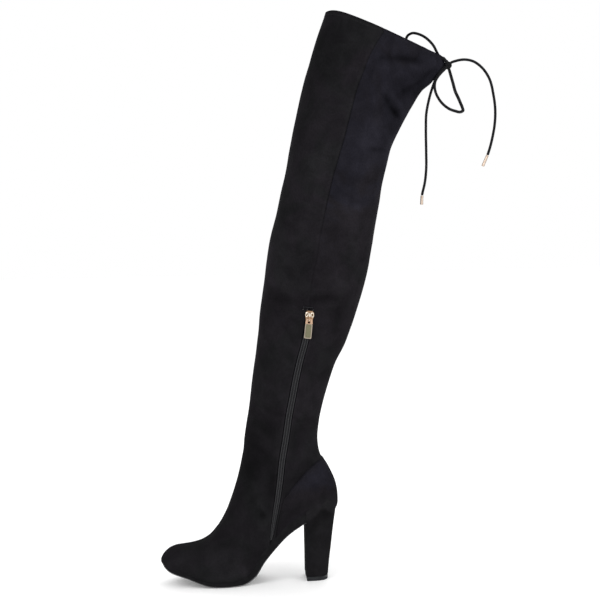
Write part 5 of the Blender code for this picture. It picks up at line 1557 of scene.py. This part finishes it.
def local(b, t, n):
    """Points from places across, along and above the slider."""
    b, t, n = np.broadcast_arrays(np.asarray(b, float), np.asarray(t, float), np.asarray(n, float))
    return SL[0] + b[..., None] * SL[3] + t[..., None] * SL[2] + n[..., None] * SL[1]


def rounded(outline, radius, steps=5):
    """Outline (list of corners) with its corners rounded."""
    pts = np.asarray(outline, float)
    out = []
    n = len(pts)
    for k in range(n):
        a, b, c = pts[k - 1], pts[k], pts[(k + 1) % n]
        r = min(radius, 0.48 * np.linalg.norm(a - b), 0.48 * np.linalg.norm(c - b))
        p, q = b + unit(a - b) * r, b + unit(c - b) * r
        for i in range(steps + 1):
            t = i / steps
            out.append((1 - t) ** 2 * p + 2 * t * (1 - t) * b + t * t * q)
    return np.array(out)


def inset(outline, d):
    """The outline moved inwards by d, along the corner bisectors."""
    p = np.asarray(outline, float)
    t = unit(np.roll(p, -1, 0) - np.roll(p, 1, 0))
    n = np.stack([-t[:, 1], t[:, 0]], -1)
    area = 0.5 * np.sum(p[:, 0] * np.roll(p[:, 1], -1) - np.roll(p[:, 0], -1) * p[:, 1])
    return p + n * d * (1.0 if area > 0 else -1.0)


def plate(outline, low, high, bevel, place, close_low=True, close_high=True):
    """A flat plate with bevelled edges; place(b, t, n) sets where it goes."""
    levels = ((low, bevel), (low + bevel * 0.35, bevel * 0.35), (low + bevel, 0.0), (high - bevel, 0.0),
              (high - bevel * 0.35, bevel * 0.35), (high, bevel))
    rings = []
    for h, ins in levels:
        o = inset(outline, ins)
        rings.append(place(o[:, 0], o[:, 1], h))
    n = len(outline)
    pts = np.concatenate(rings)
    area = 0.5 * np.sum(outline[:, 0] * np.roll(outline[:, 1], -1) - np.roll(outline[:, 0], -1) * outline[:, 1])
    faces = [tuple(f) for f in grid_faces(len(levels), n, wrap=True, flip=area < 0)]
    low_cap, high_cap = tuple(range(n)), tuple((len(levels) - 1) * n + j for j in range(n))
    if area > 0:
        faces += [low_cap[::-1], high_cap]
    else:
        faces += [low_cap, high_cap[::-1]]
    return pts, faces


SLIDER_PLAN = ((-8.8, 3.9), (-8.0, 4.2), (-5.5, 4.4), (-2.5, 4.8), (0.0, 5.5), (2.4, 5.9), (4.2, 5.8), (5.6, 5.2), (6.9, 4.1), (7.8, 2.8))
BASE_LOW, BASE_TOP = 0.75, 3.0
BAR_T, BAR_N, BAR_R = -3.2, 3.95, 0.6
BAIL_W, BAIL_T = 1.1, 1.2
TAB_W, TAB_L, TAB_T = 9.5, 25.3, 1.1


def wing_ring(sgn, grow, high, count):
    """An oval on a shoulder, leaning outwards towards its foot."""
    phi = np.arange(count) * 2 * math.pi / count
    b, t = 1.42 * grow * np.cos(phi), 2.7 * grow * np.sin(phi)
    return local(sgn * (3.55 + b - 0.10 * t), 2.7 + t, high)


def make_slider():
    """Slider: two plates round the coil, rounded shoulders with a ring each, and the bail between."""
    half = column(SLIDER_PLAN, 0, 1)
    ts = np.linspace(-8.8, 7.8, 26)
    right = [(float(half(t)), float(t)) for t in ts]
    outline = np.array(right + [(-b, t) for b, t in right[::-1]])
    parts = [plate(outline, 2.05, BASE_TOP + 0.1, 0.35, local),
             plate(inset(outline, 0.5), BASE_LOW - 0.25, BASE_LOW + 0.55, 0.25, local)]
    # side flanges with the slot for the tapes between the plates
    for sgn in (-1, 1):
        edge = np.array([(sgn * (float(half(t)) - 0.9), t) for t in np.linspace(-7.4, 2.0, 12)])
        parts.append(tube(local(edge[:, 0], edge[:, 1], 1.75), np.full(12, 0.55), 8))
    # shoulders: a low dome each side of the crown, with a leaning ring on it
    wings = []
    for sgn in (-1, 1):
        rings = []
        for k in range(7):
            f = math.pi / 2 * k / 6.0
            phi = np.arange(28) * 2 * math.pi / 28
            rings.append(local(sgn * 3.6 + 2.1 * math.cos(f) * np.cos(phi), 2.7 + 3.4 * math.cos(f) * np.sin(phi), BASE_TOP - 0.1 + 1.0 * math.sin(f)))
        p = np.concatenate(rings)
        fs = [tuple(q) for q in grid_faces(7, 28, wrap=True)] + [tuple(6 * 28 + j for j in range(28))]
        wings.append((p, fs))
        wings.append(tube(wing_ring(sgn, 1.0, BASE_TOP + 0.62, 32), np.full(32, 0.52), 10, closed=True))
    # bail: a flat strap arching over the bar
    top = BAR_N + BAR_R + 0.35
    arch = np.array([(BAR_T - 1.5, BASE_TOP - 0.6), (BAR_T - 1.55, BAR_N), (BAR_T - 1.2, top + 0.2), (BAR_T - 0.2, top + 0.62),
                     (0.5, top + 0.72), (3.2, top + 0.62), (4.5, top + 0.1), (4.95, BAR_N - 0.2), (4.9, BASE_TOP - 0.6)])
    cs = [curve(np.arange(len(arch)), arch[:, k]) for k in (0, 1)]
    q = np.linspace(0, len(arch) - 1, 44)
    mid = np.stack([cs[0](q), cs[1](q)], -1)
    tg = unit(np.gradient(mid, axis=0))
    nn = np.stack([-tg[:, 1], tg[:, 0]], -1)
    rings = []
    for b, d in ((-BAIL_W, -0.32), (-BAIL_W + 0.25, -0.58), (BAIL_W - 0.25, -0.58), (BAIL_W, -0.32), (BAIL_W, 0.05),
                 (BAIL_W - 0.55, 0.5), (-BAIL_W + 0.55, 0.5), (-BAIL_W, 0.05)):
        pos = mid + nn * d
        rings.append(local(b, pos[:, 0], pos[:, 1]))
    rings = np.array(rings).transpose(1, 0, 2)
    # its crown and its foot are in the pale copy of the metal, painted highlight; the stretch between them in a darker
    # copy, painted shade
    foot, neck = 15, 22
    foot_fs = [tuple(f) for f in grid_faces(foot + 1, 8, wrap=True, flip=True)] + [tuple(range(8))]
    head_fs = [tuple(f) for f in grid_faces(44 - neck, 8, wrap=True, flip=True)] + [tuple((43 - neck) * 8 + j for j in range(8))[::-1]]
    wings.append((rings[neck:].reshape(-1, 3), head_fs))
    wings.append((rings[:foot + 1].reshape(-1, 3), foot_fs))
    middle = [(rings[foot:neck + 1].reshape(-1, 3), [tuple(f) for f in grid_faces(neck + 1 - foot, 8, wrap=True, flip=True)])]
    # the plates and flanges take a darker copy of the metal as painted shade; the shoulders, rings and the bail's ends
    # a pale copy as painted highlight; the bail's middle a painted shade band
    for name, items, mat in (("slider_body", parts, GOLD_PLATE_SHADE), ("slider_wings", wings, GOLD_PAINTED_HIGHLIGHT), ("slider_bail_neck", middle, GOLD_BAIL_SHADE)):
        pts, faces = join_parts(items)
        ob = mesh_object(name, pts, faces, mat, sharp=30.0)
        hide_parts("zip_slider")
    # painted shade: dark brown discs inside the rings, and a dark plate across the bail's foot
    parts = []
    for sgn in (-1, 1):
        rings = [wing_ring(sgn, k, BASE_TOP + 0.98 - 0.10 * (1 - k), 24)[::sgn] for k in (0.74, 0.4)]
        parts.append((np.concatenate(rings), [tuple(f) for f in grid_faces(2, 24, wrap=True)] + [tuple(24 + j for j in range(24))]))
    crease = rounded([(-1.2, -1.5), (1.0, -1.1), (1.0, -0.3), (-1.2, -0.8)], 0.2, 3)
    parts.append(plate(crease, top + 1.05, top + 1.19, 0.03, local))
    # painted shadow: a near-black plate low on the plate, seen through the pull's slot
    window = rounded([(-2.05, -8.7), (2.05, -8.7), (2.05, -6.6), (-2.05, -6.6)], 0.4, 3)
    pts, faces = plate(window, BASE_TOP, BASE_TOP + 0.18, 0.04, local)
    mesh_object("slider_slot_shadow", pts, faces, SLOT_SHADOW, sharp=30.0)
    pts, faces = join_parts(parts)
    mesh_object("slider_shade_pieces", pts, faces, GOLD_PAINTED_SHADE, sharp=30.0)


def tab_place(b, r, n):
    """Places on the pull: across, down from its bar, above the bar's middle."""
    return local(b, BAR_T - np.asarray(r, float), BAR_N + np.asarray(n, float))


def ring_plate(outer, inner, low, high, bevel, place):
    """A plate with a hole: both outlines have as many points."""
    rows = [(inner, 0.0, low), (outer, bevel, low), (outer, 0.0, low + bevel), (outer, 0.0, high - bevel),
            (outer, bevel, high), (inner, -bevel, high), (inner, 0.0, high - bevel), (inner, 0.0, low)]
    rings = [place(*inset(o, d).T, h) for o, d, h in rows[:7]]
    n = len(outer)
    pts = np.concatenate(rings)
    area = 0.5 * np.sum(outer[:, 0] * np.roll(outer[:, 1], -1) - np.roll(outer[:, 0], -1) * outer[:, 1])
    faces = [tuple(f) for f in grid_faces(7, n, wrap=True, flip=area < 0)]
    j = np.arange(n)
    close = np.stack([6 * n + j, 6 * n + (j + 1) % n, (j + 1) % n, j], -1)
    faces += [tuple(f) for f in (close if area > 0 else close[:, ::-1])]
    return pts, faces


def make_pull():
    """Pull tab: a raised bright rim round a sunk panel of rougher metal painted darker as a dark reflection, a slot for
    the bail, a round bar; the neck and bar in a lighter, pinker copy of the metal as painted light.
    """
    w = TAB_W / 2.0
    corners = [(-w + 1.6, -0.6), (w - 1.6, -0.6), (w - 0.5, 0.6), (w - 0.1, 4.0), (w, TAB_L - 1.0), (w - 0.9, TAB_L),
               (-w + 0.9, TAB_L), (-w, TAB_L - 1.0), (-w + 0.1, 4.0), (-w + 0.5, 0.6)]
    outer = rounded(corners, 0.9, 4)
    sw = BAIL_W + 0.45
    slot_c = [(-sw, BAR_R + 0.05), (sw, BAR_R + 0.05), (sw, 5.3), (-sw, 5.3)]
    panel_c = [(-w + 1.35, 6.9), (w - 1.35, 6.9), (w - 1.30, TAB_L - 1.5), (-w + 1.30, TAB_L - 1.5)]

    h = TAB_T / 2.0
    parts = []
    # upper part, with the slot: outer outline cut at r = 6
    top_c = [(-w + 1.6, -0.6), (w - 1.6, -0.6), (w - 0.5, 0.6), (w - 0.1, 4.0), (w - 0.05, 6.2), (-w + 0.05, 6.2), (-w + 0.1, 4.0), (-w + 0.5, 0.6)]
    neck = [frame_of(top_c, slot_c, 0.5, -h, h, 0.22)]
    low_c = [(-w + 0.05, 6.1), (w - 0.05, 6.1), (w, TAB_L - 1.0), (w - 0.9, TAB_L), (-w + 0.9, TAB_L), (-w, TAB_L - 1.0)]
    parts.append(frame_of(low_c, panel_c, 0.5, -h, h + 0.28, 0.25))
    bar = tab_place(np.linspace(-sw - 0.3, sw + 0.3, 9), 0.0, 0.0)
    neck.append(tube(bar, np.full(9, BAR_R), 14))
    # the neck round the slot and the bar take a lighter, pinker copy of the metal: painted light
    for name, items, mat in (("pull_rim", parts, GOLD_RIM), ("pull_neck", neck, GOLD_NECK_PAINTED_LIGHT)):
        pts, faces = join_parts(items)
        ob = mesh_object(name, pts, faces, mat, body="zip_pull", sharp=30.0)
        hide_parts("zip_pull")
    # the sunk panel's darker colour is a painted dark reflection
    panel = rounded(panel_c, 0.5, 5)
    pts, faces = plate(inset(panel, -0.35), -h + 0.05, h - 0.28, 0.08, tab_place)
    ob = mesh_object("pull_panel", pts, faces, GOLD_DULL_DARK_REFLECTION, body="zip_pull", sharp=30.0)
    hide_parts("zip_pull")


def frame_of(outer_c, inner_c, radius, low, high, bevel):
    """Plate between two rounded outlines, matched by direction from the inner one's middle."""
    count = 72
    inner_mid = np.mean(np.asarray(inner_c, float), axis=0)

    def by_angle(corner_list, r):
        o = rounded(corner_list, r, 6)
        fine = []
        for k in range(len(o)):
            a, b = o[k], o[(k + 1) % len(o)]
            for i in range(12):
                fine.append(a + (b - a) * i / 12.0)
        fine = np.array(fine)
        ang = np.arctan2(fine[:, 1] - inner_mid[1], fine[:, 0] - inner_mid[0])
        order = np.argsort(ang)
        ang, fine = ang[order], fine[order]
        at = np.linspace(-math.pi, math.pi, count + 1)[:-1]
        ang = np.concatenate([[ang[-1] - 2 * math.pi], ang, [ang[0] + 2 * math.pi]])
        fine = np.vstack([fine[-1:], fine, fine[:1]])
        return np.stack([np.interp(at, ang, fine[:, k]) for k in (0, 1)], -1)

    return ring_plate(by_angle(outer_c, radius), by_angle(inner_c, radius), low, high, bevel, tab_place)


GOLD_PAINTED_SHADE = metal("slider_painted_shade", (0.15, 0.085, 0.040), 0.45)
GOLD_PLATE_SHADE = metal("slider_plate_shade", (0.33, 0.21, 0.13), 0.35)
GOLD_BAIL_SHADE = metal("slider_bail_shade", (0.40, 0.25, 0.155), 0.35)
GOLD_PAINTED_HIGHLIGHT = metal("slider_painted_highlight", (0.84, 0.77, 0.65), 0.22)
SLOT_SHADOW = metal("slider_slot_shadow", (0.018, 0.007, 0.004), 0.5)
make_slider()
make_pull()


def make_bartack():
    """Close stitches across the top of the zip, and three knotted thread ends below them."""
    parts, ends = [], []
    for d in np.linspace(-9.2, 3.2, 21):
        p = local(np.array([d - 0.12, d - 0.1, d + 0.1, d + 0.12]), np.array([11.2, 11.45, 12.15, 12.4]), np.array([0.7, 1.2, 1.2, 0.7]))
        parts.append(tube(p, np.full(4, 0.27), 6))
    for d in (-9.0, -3.7, 3.8):
        p = local(np.array([d - 0.35, d - 0.2, d + 0.2, d + 0.35]), np.array([8.0, 8.3, 8.9, 9.2]), np.array([0.8, 1.35, 1.35, 0.8]))
        ends.append(tube(p, np.full(4, 0.42), 8))
    for name, items, mat in (("zip_bartack", parts, THREAD_PALE), ("zip_thread_ends", ends, THREAD_END)):
        pts, faces = join_parts(items)
        mesh_object(name, pts, faces, mat, sharp=None)


THREAD_END = thread("stitch_end", (0.070, 0.064, 0.066))
THREAD_PALE = thread("stitch_grey", (0.019, 0.019, 0.022))
make_bartack()


# ------------------------------------------------------------------ eyelets of the drawstring
def make_eyelets():
    """Small sewn rings where the two leads come out of the casing."""
    parts = []
    for name in ("tie_lead_inner", "tie_lead_outer"):
        run = np.array(TIE_RUNS[name])
        t = unit(run[0] - run[-1])
        side = unit(np.cross(t, (0.0, 0.3, 1.0)))
        up = np.cross(side, t)
        phi = (np.arange(28) * 2 * math.pi / 28)[:, None]
        for r, back, thick in ((BRAID_D / 2.0 + 0.55, 0.5, 0.42), (BRAID_D / 2.0 + 0.2, 0.1, 0.36)):
            ring = run[0] - t * back + (np.cos(phi) * side + np.sin(phi) * up) * r
            parts.append(tube(ring, thick * (1.0 + 0.2 * np.cos(np.arange(28) * math.pi))[:, None] * np.ones((1, 8)), 8, closed=True))
    pts, faces = join_parts(parts)
    mesh_object("stitched_eyelets", pts, faces, STITCH, sharp=None)


make_eyelets()


# ------------------------------------------------------------------ CAD nodes that stay
def dress(node, mat):
    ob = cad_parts[node]
    for s in ob.material_slots:
        s.material = mat
    if not ob.material_slots:
        raise RuntimeError(node + " has no material slot")


dress("insole", BED)


# ------------------------------------------------------------------ floor and light
def make_stage():
    me = bpy.data.meshes.new("floor")
    me.from_pydata([(-6, -6, 0), (6, -6, 0), (6, 6, 0), (-6, 6, 0)], [], [(0, 1, 2, 3)])
    s = Shader("floor_white")
    soft = s.noise(3.0, 1.0)
    s.set(Base_Color=s.mix(soft, (0.90, 0.90, 0.90), (0.92, 0.92, 0.92)), Roughness=0.9, Specular_IOR_Level=0.1,
          Emission_Color=(1.0, 1.0, 1.0, 1.0), Emission_Strength=0.12)
    me.materials.append(s.mat)
    ob = bpy.data.objects.new("floor", me)
    bpy.context.scene.collection.objects.link(ob)
    world = bpy.data.worlds.new("studio")
    bpy.context.scene.world = world
    world.use_nodes = True
    bg = world.node_tree.nodes["Background"]
    bg.inputs["Color"].default_value = (1.0, 1.0, 1.0, 1.0)
    bg.inputs["Strength"].default_value = 1.0


def area_light(name, place, aim, size, power_w, colour=(1.0, 1.0, 1.0)):
    li = bpy.data.lights.new(name, "AREA")
    li.shape = "RECTANGLE"
    li.size, li.size_y = size
    li.energy = power_w
    li.color = colour
    ob = bpy.data.objects.new(name, li)
    ob.matrix_world = Matrix.Translation(place) @ (Vector(aim) - Vector(place)).to_track_quat("-Z", "Y").to_matrix().to_4x4()
    bpy.context.scene.collection.objects.link(ob)


make_stage()
area_light("key", (1.6, -1.6, 1.9), (0.0, 0.0, 0.35), (1.4, 1.4), 22.0)
area_light("fill", (1.8, 1.5, 1.2), (0.0, 0.0, 0.35), (1.2, 1.2), 8.0)
area_light("rim", (-1.4, 0.3, 1.8), (0.0, 0.0, 0.4), (1.2, 1.2), 10.0)
bpy.context.scene.view_settings.view_transform = "Standard"
bpy.context.scene.view_settings.look = "None"
